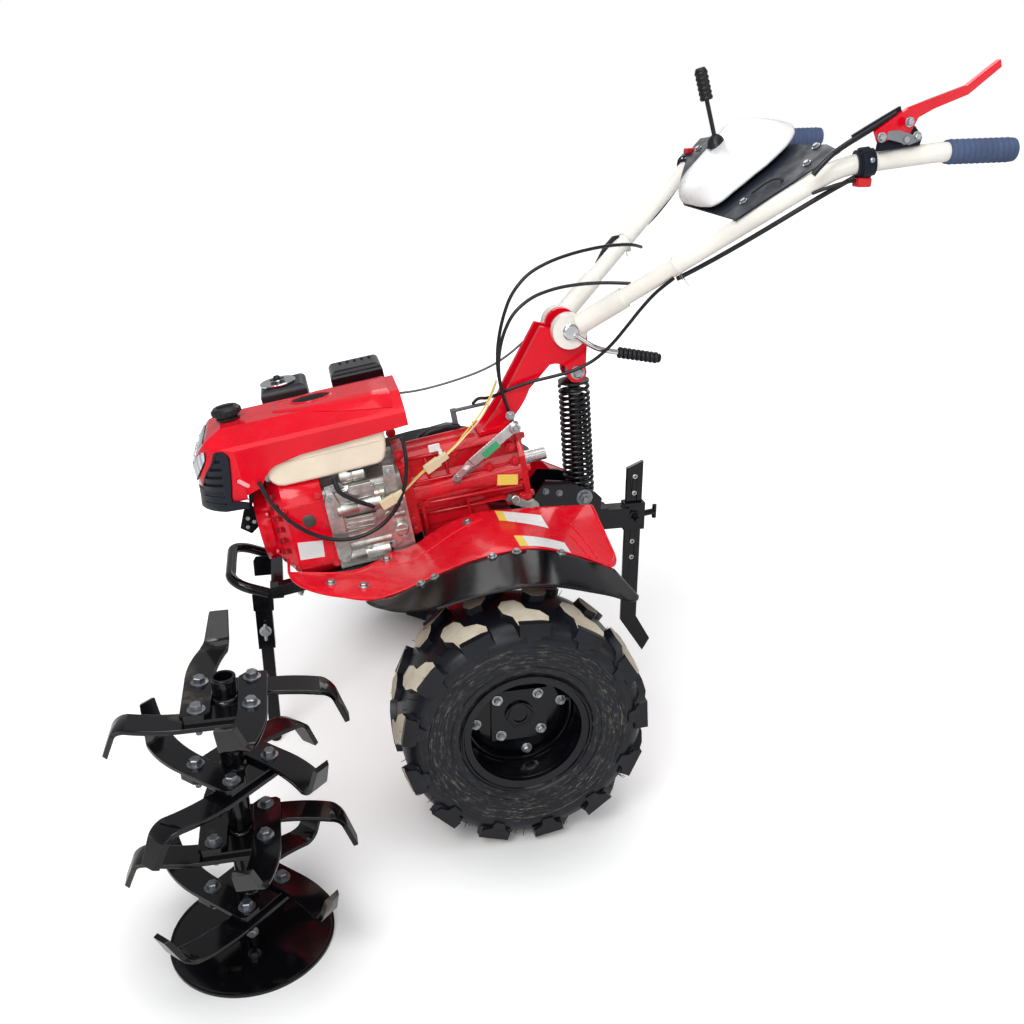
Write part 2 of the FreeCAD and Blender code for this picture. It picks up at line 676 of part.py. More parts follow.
bumper_y = size("rail_y") + 6
bumper = route([place(442.5, bumper_y, 361), place(515, bumper_y, 390), place(515, -bumper_y, 390),
                place(442.5, -bumper_y, 361)], bend=42)
lone("front_bumper", swept(bumper, size("bumper_tube")))


# --- Fenders -------------------------------------------------------------------------------------

INNER_WAVE = [(402, 441), (320, 439), (235, 438), (165, 441), (95, 475), (10, 505), (-70, 506),
              (-120, 506), (-165, 504), (-200, 503), (-235, 502)]
SEAM_WAVE = [(402, 441), (320, 441), (235, 442), (165, 464), (95, 492), (10, 511), (-70, 512),
             (-120, 498), (-165, 480), (-200, 463), (-235, 448)]
RIM_WAVE = [(402, 470), (320, 468), (235, 470), (165, 482), (95, 498), (10, 510), (-70, 504),
            (-120, 490), (-165, 476), (-200, 460), (-235, 446)]


def edge_curve(wave, offset):
    """A smooth edge of the sheet: a wave of the side view at a distance from the middle."""
    curve = Part.BSplineCurve()
    curve.interpolate([V(x, offset, z) for x, z in wave])
    return curve.toShape()


def bent_sheet(label, edges):
    """A sheet of fender steel between two smooth edges, each a wave and its distance."""
    surface = Part.makeRuledSurface(*[edge_curve(wave, size(offset)) for wave, offset in edges])
    return feature(label, surface.extrude(V(0, 0, -size("fender_steel"))))


def trimmed(label, sheet_metal, plan):
    """The part of a bent sheet inside its outline from above."""
    common = document.addObject("Part::MultiCommon", label)
    common.Shapes = [sheet_metal, plan]
    return settle(common, label, "chassis")


def make_fender(side, sign):
    """The painted sheet and the black flare over one wheel."""
    inner, seam = f"{sign}fender_inner", f"{sign}fender_seam"
    beside_engine = f"{sign}(fan_radius + 1)"
    fender_plan = padded("FenderPlan", "XY", [
        ("398", beside_engine), ("398", f"{sign}190"), ("300", f"{sign}310", f"{sign}140"),
        ("236", seam, f"{sign}160"), ("-200", seam), ("-230", f"{sign}290", f"{sign}60"), ("-233", inner),
        ("118", inner), ("130", beside_engine),
    ], "300", "350")
    trimmed(f"fender_{side}", bent_sheet("FenderSheet", [(INNER_WAVE, inner), (SEAM_WAVE, seam)]),
            fender_plan)
    flare_seam = f"{sign}(fender_seam + 0.4)"
    outer = f"{sign}flare_outer"
    flare_plan = padded("FlarePlan", "XY", [
        ("262", flare_seam), ("236", f"{sign}400", f"{sign}160"), ("160", outer, f"{sign}170"),
        ("-190", outer), ("-226", f"{sign}440", f"{sign}60"), ("-212", flare_seam),
    ], "300", "350")
    trimmed(f"flare_{side}", bent_sheet("FlareSheet", [(SEAM_WAVE, flare_seam), (RIM_WAVE, outer)]),
            flare_plan)


make_fender("left", "")
make_fender("right", "-")

inner_edge = edge_curve(INNER_WAVE, size("fender_inner")).discretize(Number=200)
over_struts = min(point.z for point in inner_edge if -62 < point.x < -18)
strut_place = over_struts - size("fender_steel") - 6.9
struts = group([
    block(("40", "150", "6"), ("-60", "upper_half - 11.8", strut_place)),
    block(("40", "150", "6"), ("-60", "-138.2 - upper_half", strut_place)),
])
settle(struts, "fender_struts", "chassis")


# --- Handle bracket, spring and hitch ------------------------------------------------------------

EYE = ("spring_x + eye_height * sin(spring_lean)", "spring_low + eye_height * cos(spring_lean)")


def bracket_arm(offset):
    """One cheek of the handle bracket, from the gear case to the pivot and the spring's ear."""
    pivot_at = from_chassis("pivot_x", "pivot_z")
    ear_at = from_chassis(*EYE)
    return union([
        padded("Cheek", "XZ", [
            ("-180", "upper_top + 0.3"), ("-262", "172", "-340"), ("-346", "278"), ("-440", "240"),
            ("-424", "160"), ("-392", "150"), ("-352", "196", "-36"), ("-302", "156"),
            ("-262", "108", "160"), ("-236", "upper_top + 0.3"),
        ], "12", offset),
        cylinder("34", "12", (pivot_at[0], f"{offset} - 12", pivot_at[1]), "y"),
        cylinder("21", "12", (ear_at[0], f"{offset} - 12", ear_at[1]), "y"),
    ])


bolt_at = from_chassis("pivot_x", "pivot_z")
handle_bracket = union([
    block(("68", "80", "8"), ("-248", "-40", "upper_top + 0.3")),
    bracket_arm("cheek_half - 0.5"),
    bracket_arm("12.5 - cheek_half"),
    cylinder("pivot_bolt", "2 * (cheek_half + disc_thick) + 1",
             (bolt_at[0], "-cheek_half - disc_thick - 0.5", bolt_at[1]), "y"),
])
settle(handle_bracket, "handle_bracket", "engine")

FRAMES["spring"] = ("axle_x + spring_x", "middle_y", "spring_low", V(0, 1, 0), "spring_lean")
shock_absorber = union([
    cylinder("16", "2 * (cheek_half - 12.8)", ("0", "12.8 - cheek_half", "eye_height"), "y"),
    cylinder("13", "eye_height + 20", ("0", "0", "-20")),
    cylinder("spring_radius - 2", "5", ("0", "0", "spring_length + 0.3")),
    cylinder("spring_radius - 2", "6", ("0", "0", "-6.3")),
    cylinder("14", "71", ("0", "-35.5", "-24"), "y"),
])
settle(shock_absorber, "shock_absorber", "spring")

# The spring is one corrugated tube with a ridge for each coil.
TURNS = 14
coil = [("spring_radius - 2 * spring_wire", "0"), ("spring_radius - spring_wire", "0")]
for number in range(TURNS):
    middle = f"(spring_length * ({number} + 0.5) / {TURNS})"
    coil.append(("spring_radius", f"{middle} - spring_wire / 2"))
    coil.append(("spring_radius", f"{middle} + spring_wire / 2"))
    coil.append(("spring_radius - spring_wire", f"spring_length * ({number} + 1) / {TURNS}"))
coil.append(("spring_radius - 2 * spring_wire", "spring_length"))
settle(turned("SpringForm", coil, "XZ"), "coil_spring", "spring")

bar_slot_x = "depth_width / 2 + 0.5"
bar_slot_y = "depth_thick / 2 + 0.5"


def hitch_cheek(offset):
    """One side plate of the rear hitch."""
    return padded("HitchCheek", "XZ", [
        under_case("-182", "5"), ("-40", "462"), ("-200", "arm_z - arm_size / 2"),
        ("-268", "arm_z - arm_size / 2"), ("-276", "486"), ("-262", "500"), ("-200", "530"),
        ("-150", "536"), under_case("-262", "5"),
    ], "8", offset)


hitch = union([
    hitch_cheek("44"),
    hitch_cheek("-36"),
    block(("70", "88", "arm_size"), ("-268", "-44", "arm_z - arm_size / 2")),
    block(("90", "arm_size - 8", "arm_size"), ("-350", "4 - arm_size / 2", "arm_z - arm_size / 2")),
    block((f"2 * ({bar_slot_x}) + 10", f"2 * ({bar_slot_y}) + 16", "64"),
          (f"bar_x - ({bar_slot_x}) - 5", f"-({bar_slot_y}) - 8", "arm_z - 32")),
])
slot = block((f"2 * ({bar_slot_x})", f"2 * ({bar_slot_y})", "120"),
             (f"bar_x - ({bar_slot_x})", f"-({bar_slot_y})", "arm_z - 60"))
mount_x, mount_z = under_case("-258", "8.2")
mount = block(("82", "96", "8"), (mount_x, "-48", mount_z))
mount.Placement.Rotation = FreeCAD.Rotation(V(0, 1, 0), size("engine_tilt"))
bind(mount, ".Placement.Rotation.Angle", "engine_tilt")
settle(union([less(hitch, slot), mount]), "rear_hitch", "chassis")

depth_bar = new_body("depth_bar")
bar_back = "bar_x - depth_width / 2"
bar_front = "bar_x + depth_width / 2"
side_view = outline(sketch_on(depth_bar, "XZ"), [
    (bar_back, "depth_top"), (bar_back, "168"), (f"{bar_back} - 36", "105"),
    (f"{bar_back} - 19", "75"), (bar_front, "160"), (bar_front, "depth_top - 16"),
])
for number in range(6):
    ring(side_view, "5", "bar_x", f"depth_top - 36 - {number} * hole_pitch")
grow(depth_bar, "Pad", side_view, "depth_thick", centred=True)
settle(depth_bar, "depth_bar", "chassis")


# --- Handlebar -----------------------------------------------------------------------------------

def bar_points(sign):
    """The middle line of one bar: pivot, bend, grip start and grip end."""
    return [place(size("pivot_x"), sign * 50, size("pivot_z") + 2),
            place(-600, sign * 318, 1182),
            place(size("grip_end + grip_length"), sign * size("grip_y"), size("grip_z") - 3),
            place(size("grip_end"), sign * size("grip_y"), size("grip_z"))]


def collar(middle, along, inside, outside, width):
    """A ring about a line."""
    along = V(along).normalize()
    start = middle - along * (width / 2)
    solid = Part.makeCylinder(outside, width, start, along)
    return solid.cut(Part.makeCylinder(inside, width, start, along))


def make_bar(side, sign):
    """Cheek disc, wide sleeve and tube of one bar."""
    points = bar_points(sign)
    heading = (points[1] - points[0]).normalize()
    start = points[0] + heading * 26
    tube = swept(route([start] + points[1:], bend=110), size("bar_radius"))
    sleeve = Part.makeCylinder(size("sleeve_radius"), 104, start, heading)
    inner_face = sign * size("cheek_half")
    disc = Part.makeCylinder(size("disc_radius"), size("disc_thick"),
                             place(size("pivot_x"), inner_face, size("pivot_z")), V(0, sign, 0))
    bolt_hole = Part.makeCylinder(size("pivot_bolt + running_clearance"), 60,
                                  place(size("pivot_x"), inner_face - sign, size("pivot_z")), V(0, sign, 0))
    lone(f"handlebar_{side}", disc.fuse([sleeve, tube]).cut(bolt_hole))


make_bar("left", 1)
make_bar("right", -1)

grips = []
for sign in (1, -1):
    start, finish = bar_points(sign)[2:]
    along = (finish - start).normalize()
    start += along * 16
    sheath = Part.makeCylinder(size("grip_radius"), size("grip_length") - 10, start, along)
    hollow = Part.makeCylinder(size("bar_radius + running_clearance"), size("grip_length") - 15.9,
                               start, along)
    grips.append(sheath.cut(hollow))
lone("grips", Part.makeCompound(grips))

clamp_path = route([place(-200, 61, 852), place(-245, 64, 821), place(-290, 70, 813), place(-377, 72, 797)])
clamp_head = Part.makeCylinder(13, 10, place(-194, size("cheek_half + disc_thick") + 0.8, 856), V(0, 1, 0))
lone("clamp_lever", clamp_head.fuse(swept(clamp_path, 5.5)))

FRAMES["bars"] = ("axle_x + pivot_x", "middle_y", "pivot_z + 2", V(0, 1, 0), "bar_slope")
half_plate = [("-341", "241"), ("-406", "265"), ("-465", "292"), ("-533", "319"), ("-547", "250"),
              ("-541", "196")]
panel_bracket = padded("PanelPlate", "XY", half_plate + [(x, f"-{y}") for x, y in reversed(half_plate)],
                       "4", "bar_radius + 0.3")
settle(group([panel_bracket]), "panel_bracket", "bars")

# The shroud is a shield that rises over the plate to a smaller top.
SHROUD_POLES = [(-330, -76), (-330, 180), (-385, 190), (-505, 228), (-556, 176), (-598, 20), (-592, -160),
                (-525, -180), (-395, -122)]
SHROUD_MIDDLE = V(-470, 20, 0)


def shroud_section(share, height):
    """The shroud's outline at a height above the bars, drawn in to a share of its size."""
    poles = [SHROUD_MIDDLE + (V(x, y, 0) - SHROUD_MIDDLE) * share + V(0, 0, height)
             for x, y in SHROUD_POLES]
    curve = Part.BSplineCurve()
    curve.buildFromPoles(poles, True, 2)
    return Part.Wire([curve.toShape()])


plate_top = size("bar_radius + 4.7")
dome = Part.makeLoft([shroud_section(1, plate_top), shroud_section(0.99, plate_top + 16),
                      shroud_section(0.88, plate_top + 36), shroud_section(0.62, plate_top + 47)], True)
settle(feature("ShroudForm", dome), "control_panel", "bars")

shift_lever = union([
    cylinder("4.5", "136", ("0", "0", "0")),
    cylinder("12", "56", ("0", "0", "80")),
])
put(shift_lever, ("-480", "-60", "bar_radius + 54.2"))
shift_lever.Placement.Rotation = FreeCAD.Rotation(V(0, -1, 0), 21)
settle(group([shift_lever]), "shift_lever", "bars")

clutch_bracket = padded("ClutchPlate", "XZ", [
    ("-652", "1206.9"), ("-654", "1232"), ("-690", "1252"), ("-716", "1248"), ("-732", "1230"),
    ("-730", "1217.7"),
], "12", "350")
settle(group([clutch_bracket]), "clutch_bracket", "chassis")

clutch_lever = padded("LeverForm", "XZ", [
    ("-645", "1222"), ("-636", "1240"), ("-690", "1276"), ("-735", "1292"), ("-795", "1312"),
    ("-852", "1354"), ("-856", "1342"), ("-800", "1298"), ("-740", "1276"), ("-712", "1262"),
    ("-700", "1236"),
], "12", "362.6")
settle(group([clutch_lever]), "clutch_lever", "chassis")

switches = []
for sign in (1, -1):
    bend, start = bar_points(sign)[1:3]
    along = start - bend
    middle = bend + along * 0.25
    knob = Part.makeBox(20, 18, 14, middle + V(-10, -9, -34))
    switches.append(collar(middle, along, size("bar_radius") + 0.3, size("bar_radius") + 7, 20).fuse(knob))
lone("switches", Part.makeCompound(switches))


# --- Cables --------------------------------------------------------------------------------------

def beside_bar(sign, along, reach, turn=0):
    """A point beside a bar's straight run, a reach from its middle and turned from straight below."""
    start, finish = bar_points(sign)[:2]
    heading = (finish - start).normalize()
    below = (V(0, 0, -1) + heading * heading.z).normalize()
    return start + heading * along + FreeCAD.Rotation(heading, turn).multVec(below) * reach


def run_of(knots, pieces):
    """Points along a smooth curve through the knots, evenly spaced."""
    curve = Part.BSplineCurve()
    curve.interpolate([knot if isinstance(knot, V) else place(*knot) for knot in knots])
    return curve.toShape().discretize(Number=pieces + 1)


def cable(radius, knots, pieces):
    """One cable through the knots, and its print-out of bend radii."""
    points = run_of(knots, pieces)
    radii = []
    for before, corner, after in zip(points, points[1:], points[2:]):
        turn = math.pi - (before - corner).getAngle(after - corner)
        reach = 0.45 * min((before - corner).Length, (after - corner).Length)
        radii.append(round(reach / math.tan(turn / 2)))
    print("cable radius", radius, "bend radii", radii)
    return swept(route(points), radius)


lone("shift_cables", Part.makeCompound([
    cable(3.5, [(-394, -112, 996), (-352, -60, 1009), (-184, 0, 996), (-102, 0, 953), (-60, 0, 854),
                (-54, 0, 772), (-70, 0, 707), (-81.7, 0, 661.9)], 12),
    cable(3.5, [(-303, 95, 955), (-169, 60, 947), (-78, 60, 905), (-48, 60, 837), (-46, 56, 766),
                (-68, 48, 695), (-81.7, 42, 662.6)], 10),
]))
lone("cable_under_bar", cable(3.5, [beside_bar(1, 238, 21, -32), (-300, 108, 880), (-224, 66, 787),
                                    (-172, 58, 769), (-120, 44, 756), (-64, 40, 738), (-30, 18, 717),
                                    (-17, -24, 708), (-13, -55, 700), (-13, -59, 687)], 12))
lone("throttle_cable", cable(2.5, [(147.3, -88, 710), (90, -86, 716), (31, -84, 730), (-79, -80, 772),
                                   (-155, -88, 830), (-210, -104, 866), (-300, -152, 925)], 12))
lone("engine_lead", cable(4, [(440, 119.6, 608), (372, 135, 512), (284, 139, 478), (200, 138, 510),
                              (156, 128, 594), (160, 111.6, 676)], 10))

near_bend, near_grip = bar_points(1)[1:3]
under_grip = (near_grip - near_bend).normalize()
lone("bar_harness", cable(4.5, [beside_bar(1, 240, 21.9), beside_bar(1, 340, 27), beside_bar(1, 450, 28),
                                near_bend - V(10, 6, 31), near_bend + under_grip * 28.6 - V(0, 0, 22)], 8))


# --- Tine rotor ----------------------------------------------------------------------------------

STARS = [
    # height below the top star, turn, then per tine: above the plate, end bent up
    (0, 0, [(False, False), (True, True), (False, False), (True, True)]),
    (1, 45, [(False, False), (True, True), (False, False), (True, True)]),
    (2, 0, [(False, False), (True, True), (False, False), (True, True)]),
    (3, 45, [(False, True), (True, True), (False, True), (True, True)]),
]


def make_tine(height, angle, above, flap_up):
    """One tine bolted flat on the star plate, curving inward, with its end bent up or down."""
    near = "rotor_tube + 0.5"
    far = f"{near} + tine_width"
    plan = padded("TinePlan", "XY", [
        ("-tine_root", f"{near} + 10"), ("10 - tine_root", near), ("48", near),
        ("tine_bend_x", "1", "-290"), ("tine_bend_x + 44", "-4"), ("tine_bend_x + 44", "20"),
        ("tine_bend_x + 8", "44"), ("60", far, "230"), ("6 - tine_root", far), ("-tine_root", f"{far} - 6"),
    ], "200", centred=True)
    sine, cosine = "sin(tine_turn)", "cos(tine_turn)"
    outer = "(tine_bend + tine_thick)"
    over = f"{outer} * (1 - {cosine})"
    side = [
        ("-tine_root - 1", "0"), ("tine_bend_x", "0"),
        (f"tine_bend_x + {outer} * {sine}", over, outer),
        (f"tine_bend_x + {outer} * {sine} + flap_length * {cosine}", f"{over} + flap_length * {sine}"),
        (f"tine_bend_x + tine_bend * {sine} + flap_length * {cosine}",
         f"{over} + flap_length * {sine} + tine_thick * {cosine}"),
        (f"tine_bend_x + tine_bend * {sine}", f"{over} + tine_thick * {cosine}"),
        ("tine_bend_x", "tine_thick", "-tine_bend"), ("-tine_root - 1", "tine_thick"),
    ]
    if not flap_up:
        side = [(x, f"tine_thick - ({z})", *[f"-({r})" for r in radius]) for x, z, *radius in side]
    blade = document.addObject("Part::MultiCommon", "Tine")
    blade.Shapes = [plan, padded("TineSide", "XZ", side, "160", centred=True)]
    level = "star_thick / 2" if above else "-star_thick / 2 - tine_thick"
    put(blade, ("0", "0", f"{height} + {level}"))
    blade.Placement.Rotation = FreeCAD.Rotation(V(0, 0, 1), angle)
    return blade


plates = []
for number, turn, tines in STARS:
    height = f"star_top - {number} * star_pitch"
    plate = block(("star_plate", "star_plate", "star_thick"), ("0", "0", "0"))
    if turn == 0:
        put(plate, ("-star_plate / 2", "-star_plate / 2", f"{height} - star_thick / 2"))
    else:
        plate.Placement.Rotation = FreeCAD.Rotation(V(0, 0, 1), turn)
        put(plate, ("0", "-star_plate / sqrt(2)", f"{height} - star_thick / 2"))
    plates.append(plate)
    blades = [make_tine(height, turn - 90 * i, *tine) for i, tine in enumerate(tines)]
    settle(group(blades), f"tines_{number + 1}", "rotor")

tube = cylinder("rotor_tube", "rotor_height - disc_steel - 0.3", ("0", "0", "disc_steel + 0.3"))
hollow = cylinder("shaft_radius + running_clearance", "rotor_height", ("0", "0", "disc_steel - 1"))
settle(less(union([tube] + plates), hollow), "rotor_hub", "rotor")

collar_ring = less(cylinder("24", "36", ("0", "0", "disc_steel - 1")),
                   cylinder("rotor_tube + 0.3", "60", ("0", "0", "disc_steel")))
settle(union([cylinder("disc_size", "disc_steel"), collar_ring]), "rotor_disc", "rotor")


# --- Export --------------------------------------------------------------------------------------

document.recompute()
for item in document.Objects:
    if {"Invalid", "Error"} & set(item.State):
        raise RuntimeError(f"{item.Name} ({item.Label}) failed: {item.State}")
os.makedirs("parts", exist_ok=True)
for item in sub_parts:
    if item.Shape.isNull() or not item.Shape.isValid():
        raise RuntimeError(f"{item.Label} has no valid shape")
for item in sub_parts:
    item.Shape.exportStep(f"parts/{item.Label}.step")
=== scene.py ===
"""Looks of the rotary tiller: materials, tread, fasteners, trim, lights and camera."""
import math
import json
import random

import bmesh
import bpy
from mathutils import Matrix, Vector

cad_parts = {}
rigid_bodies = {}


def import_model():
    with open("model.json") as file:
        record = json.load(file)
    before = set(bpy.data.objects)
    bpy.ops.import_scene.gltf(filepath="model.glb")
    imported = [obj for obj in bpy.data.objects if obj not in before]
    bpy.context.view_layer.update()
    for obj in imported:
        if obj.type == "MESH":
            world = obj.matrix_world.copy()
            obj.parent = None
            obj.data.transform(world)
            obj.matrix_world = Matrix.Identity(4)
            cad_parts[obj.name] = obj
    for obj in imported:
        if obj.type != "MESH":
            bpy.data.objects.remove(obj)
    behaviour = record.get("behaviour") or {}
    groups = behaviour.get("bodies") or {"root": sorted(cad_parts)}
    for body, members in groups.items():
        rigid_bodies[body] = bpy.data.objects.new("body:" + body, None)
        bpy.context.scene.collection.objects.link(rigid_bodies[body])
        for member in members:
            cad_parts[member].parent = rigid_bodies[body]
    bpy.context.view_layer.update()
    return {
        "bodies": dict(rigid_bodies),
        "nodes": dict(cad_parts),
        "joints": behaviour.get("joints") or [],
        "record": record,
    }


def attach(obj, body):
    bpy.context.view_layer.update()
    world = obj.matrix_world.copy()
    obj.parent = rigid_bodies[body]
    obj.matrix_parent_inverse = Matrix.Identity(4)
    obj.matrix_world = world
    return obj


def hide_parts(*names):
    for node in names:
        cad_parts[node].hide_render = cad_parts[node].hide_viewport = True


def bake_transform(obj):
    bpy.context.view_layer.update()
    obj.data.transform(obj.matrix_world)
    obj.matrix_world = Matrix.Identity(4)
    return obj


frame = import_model()
NODES = frame["nodes"]

AXLE_X = 0.11685  # the axle's place in the frame, in metres
MIDDLE_Y = -0.14985  # the machine's middle plane in the frame, in metres
WHEEL_OUT = 441  # from the middle plane to a wheel's middle, in millimetres
AXLE_HEIGHT = 235  # in millimetres
ROTOR_PLACE = (497, 648)  # forward of the axle and left of the middle plane, in millimetres
SIDES = (("left", 1), ("right", -1))
WELD_REACH = 0.00002  # in metres


def at(x, y, z):
    """A point of the chassis frame, given in millimetres."""
    return Vector((x / 1000 + AXLE_X, y / 1000 + MIDDLE_Y, z / 1000))


def local_frame(x, y, z, turn=0.0, axis="Y"):
    """The matrix from millimetres in a turned frame of the chassis to metres in the model."""
    return (Matrix.Translation(at(x, y, z)) @ Matrix.Rotation(math.radians(turn), 4, axis)
            @ Matrix.Scale(0.001, 4))


CHASSIS = local_frame(0, 0, 0)
ENGINE = local_frame(155, 0, 530, 10)
BARS = local_frame(-194, 0, 858, 38.6)
SPRING = local_frame(-236, 0, 500, 4.3)
ROTOR = local_frame(*ROTOR_PLACE, 0)
WHEELS = {"left": local_frame(0, WHEEL_OUT, AXLE_HEIGHT),
          "right": local_frame(0, -WHEEL_OUT, AXLE_HEIGHT, 180, "Z")}


def node_of(tree, kind, inputs=None, **settings):
    """A shader node with its settings, its inputs joined to sockets or set to values."""
    node = tree.nodes.new("ShaderNode" + kind)
    for name, value in settings.items():
        setattr(node, name, value)
    for name, value in (inputs or {}).items():
        if isinstance(value, bpy.types.NodeSocket):
            tree.links.new(value, node.inputs[name])
        else:
            node.inputs[name].default_value = value
    return node


# --- Camera and light ----------------------------------------------------------------------------

camera_data = bpy.data.cameras.new("camera")
camera = bpy.data.objects.new("camera", camera_data)
scene = bpy.context.scene
scene.collection.objects.link(camera)
camera.location = at(361.7, 2040.5, 1290.4)
yaw, pitch = math.radians(257.64), math.radians(21.84)
heading = Vector((math.cos(yaw) * math.cos(pitch), math.sin(yaw) * math.cos(pitch),
                  -math.sin(pitch)))
camera.rotation_euler = heading.to_track_quat("-Z", "Y").to_euler()
camera_data.sensor_width = 36
camera_data.lens = 36.2
camera_data.clip_end = 100
scene.camera = camera
scene.view_settings.view_transform = "Standard"


def lamp(name, place, target, side, power):
    """A soft square lamp that shines on a point."""
    data = bpy.data.lights.new(name, "AREA")
    data.size = side
    data.energy = power
    light = bpy.data.objects.new(name, data)
    light.location = place
    light.rotation_euler = (Vector(target) - Vector(place)).to_track_quat("-Z", "Y").to_euler()
    scene.collection.objects.link(light)


lamp("key", (1.9, 2.6, 3.3), (0, 0, 0.5), 1.6, 84)
lamp("fill", (-2.8, 2.2, 1.8), (0, 0, 0.5), 2.0, 22)
lamp("front", (0.7, 3.4, 1.9), (0, 0, 0.5), 2.0, 34)
lamp("back", (-0.6, -3.0, 2.9), (0, 0, 0.6), 2.0, 28)
lamp("top", (0.2, 0.4, 3.6), (0, 0, 0.4), 2.4, 36)

world = bpy.data.worlds.new("studio")
scene.world = world
world.use_nodes = True
wt = world.node_tree
wt.nodes.clear()
w_soft = node_of(wt, "Background", {0: (0.9, 0.92, 0.95, 1), 1: 0.25})
w_white = node_of(wt, "Background", {0: (1, 1, 1, 1), 1: 1.0})
w_path = node_of(wt, "LightPath").outputs
w_rays = node_of(wt, "Math", {0: w_path["Is Camera Ray"], 1: w_path["Is Transmission Ray"]},
                 operation="MAXIMUM")
w_gloss = node_of(wt, "Math", {0: w_path["Is Glossy Ray"], 1: 0.18, 2: w_rays.outputs[0]},
                  operation="MULTIPLY_ADD", use_clamp=True)
w_mix = node_of(wt, "MixShader", {0: w_gloss.outputs[0], 1: w_soft.outputs[0],
                                  2: w_white.outputs[0]})
node_of(wt, "OutputWorld", {0: w_mix.outputs[0]})


# --- Materials -----------------------------------------------------------------------------------

def grey(value):
    """A neutral colour."""
    return (value, value, value)


def shade(colour, factor):
    """A colour made lighter or darker."""
    return tuple(min(1.0, c * factor) for c in colour)


def base_material(name, colour, rough, metallic=0.0, coat=0.0, specular=0.5):
    """A principled material, its tree and its shader."""
    m = bpy.data.materials.new(name)
    m.use_nodes = True
    shader = m.node_tree.nodes["Principled BSDF"]
    shader.inputs["Base Color"].default_value = (*colour, 1)
    shader.inputs["Roughness"].default_value = rough
    shader.inputs["Metallic"].default_value = metallic
    shader.inputs["Coat Weight"].default_value = coat
    shader.inputs["Coat Roughness"].default_value = 0.06
    shader.inputs["Specular IOR Level"].default_value = specular
    m.diffuse_color = (*colour, 1)
    return m, m.node_tree, shader


def place_of(tree):
    """Where on the object a point is."""
    return node_of(tree, "TexCoord").outputs["Object"]


def noise_of(tree, scale, detail=4.0, rough=0.5, distort=0.0):
    """Noise in the object's own space."""
    return node_of(tree, "TexNoise", {"Scale": scale, "Detail": detail, "Roughness": rough,
                                      "Distortion": distort,
                                      "Vector": place_of(tree)}).outputs["Fac"]


def ramp_of(tree, source, stops):
    """A colour ramp through stops of (place, colour)."""
    ramp = tree.nodes.new("ShaderNodeValToRGB")
    while len(ramp.color_ramp.elements) < len(stops):
        ramp.color_ramp.elements.new(0.5)
    for element, (place, colour) in zip(ramp.color_ramp.elements, stops):
        element.position = place
        element.color = (*colour, 1)
    tree.links.new(source, ramp.inputs[0])
    return ramp.outputs["Color"]


def math_of(tree, kind, first, second):
    """One sum, product or the like of two sockets, or of a socket and a number."""
    return node_of(tree, "Math", {0: first, 1: second}, operation=kind).outputs[0]


def blend_of(tree, factor, first, second):
    """Two colours mixed by a mask."""
    first, second = [(*value, 1) if isinstance(value, tuple) else value
                     for value in (first, second)]
    return node_of(tree, "Mix", {0: factor, 6: first, 7: second}, data_type="RGBA").outputs[2]


def bump_of(tree, source, strength, distance, shader):
    """Give a shader a bump from a height."""
    bump = node_of(tree, "Bump", {"Strength": strength, "Distance": distance, "Height": source})
    tree.links.new(bump.outputs[0], shader.inputs["Normal"])


def upward(tree):
    """How far a surface faces up."""
    normal = node_of(tree, "NewGeometry").outputs["Normal"]
    return node_of(tree, "SeparateXYZ", {0: normal}).outputs["Z"]


def drive(tree, shader, name, source, stops):
    """Let a shader's input follow a colour ramp over a source."""
    tree.links.new(ramp_of(tree, source, stops), shader.inputs[name])


def paint(name, colour, rough=0.2, coat=0.2, peel=0.0007, dust=0.1, dirt=(0.3, 0.26, 0.2),
          specular=0.28):
    """Gloss paint: uneven tone, orange peel, and a thin veil of dust on what faces up."""
    m, t, b = base_material(name, colour, rough, coat=coat, specular=specular)
    tone = ramp_of(t, noise_of(t, 9.0, 6.0),
                   [(0.3, shade(colour, 0.87)), (0.7, shade(colour, 1.06))])
    dusted = math_of(t, "MULTIPLY", upward(t), noise_of(t, 46.0, 10.0, 0.7))
    veil = ramp_of(t, dusted, [(0.44, grey(0)), (0.66, grey(dust))])
    t.links.new(blend_of(t, veil, tone, dirt), b.inputs["Base Color"])
    drive(t, b, "Roughness", noise_of(t, 26.0, 7.0, 0.6),
          [(0.32, grey(rough * 0.7)), (0.74, grey(rough * 1.7))])
    bump_of(t, noise_of(t, 460.0, 2.0), 0.07, peel, b)
    return m


def casting_paint(name, colour, rough, coat):
    """Thick paint over a sand casting, with its grain showing through."""
    m, t, b = base_material(name, colour, rough, coat=coat, specular=0.35)
    drive(t, b, "Base Color", noise_of(t, 14.0, 8.0, 0.6),
          [(0.3, shade(colour, 0.7)), (0.7, shade(colour, 1.1))])
    drive(t, b, "Roughness", noise_of(t, 34.0, 6.0),
          [(0.3, grey(rough * 0.7)), (0.75, grey(rough * 1.6))])
    bump_of(t, noise_of(t, 240.0, 6.0, 0.65), 0.3, 0.0012, b)
    return m


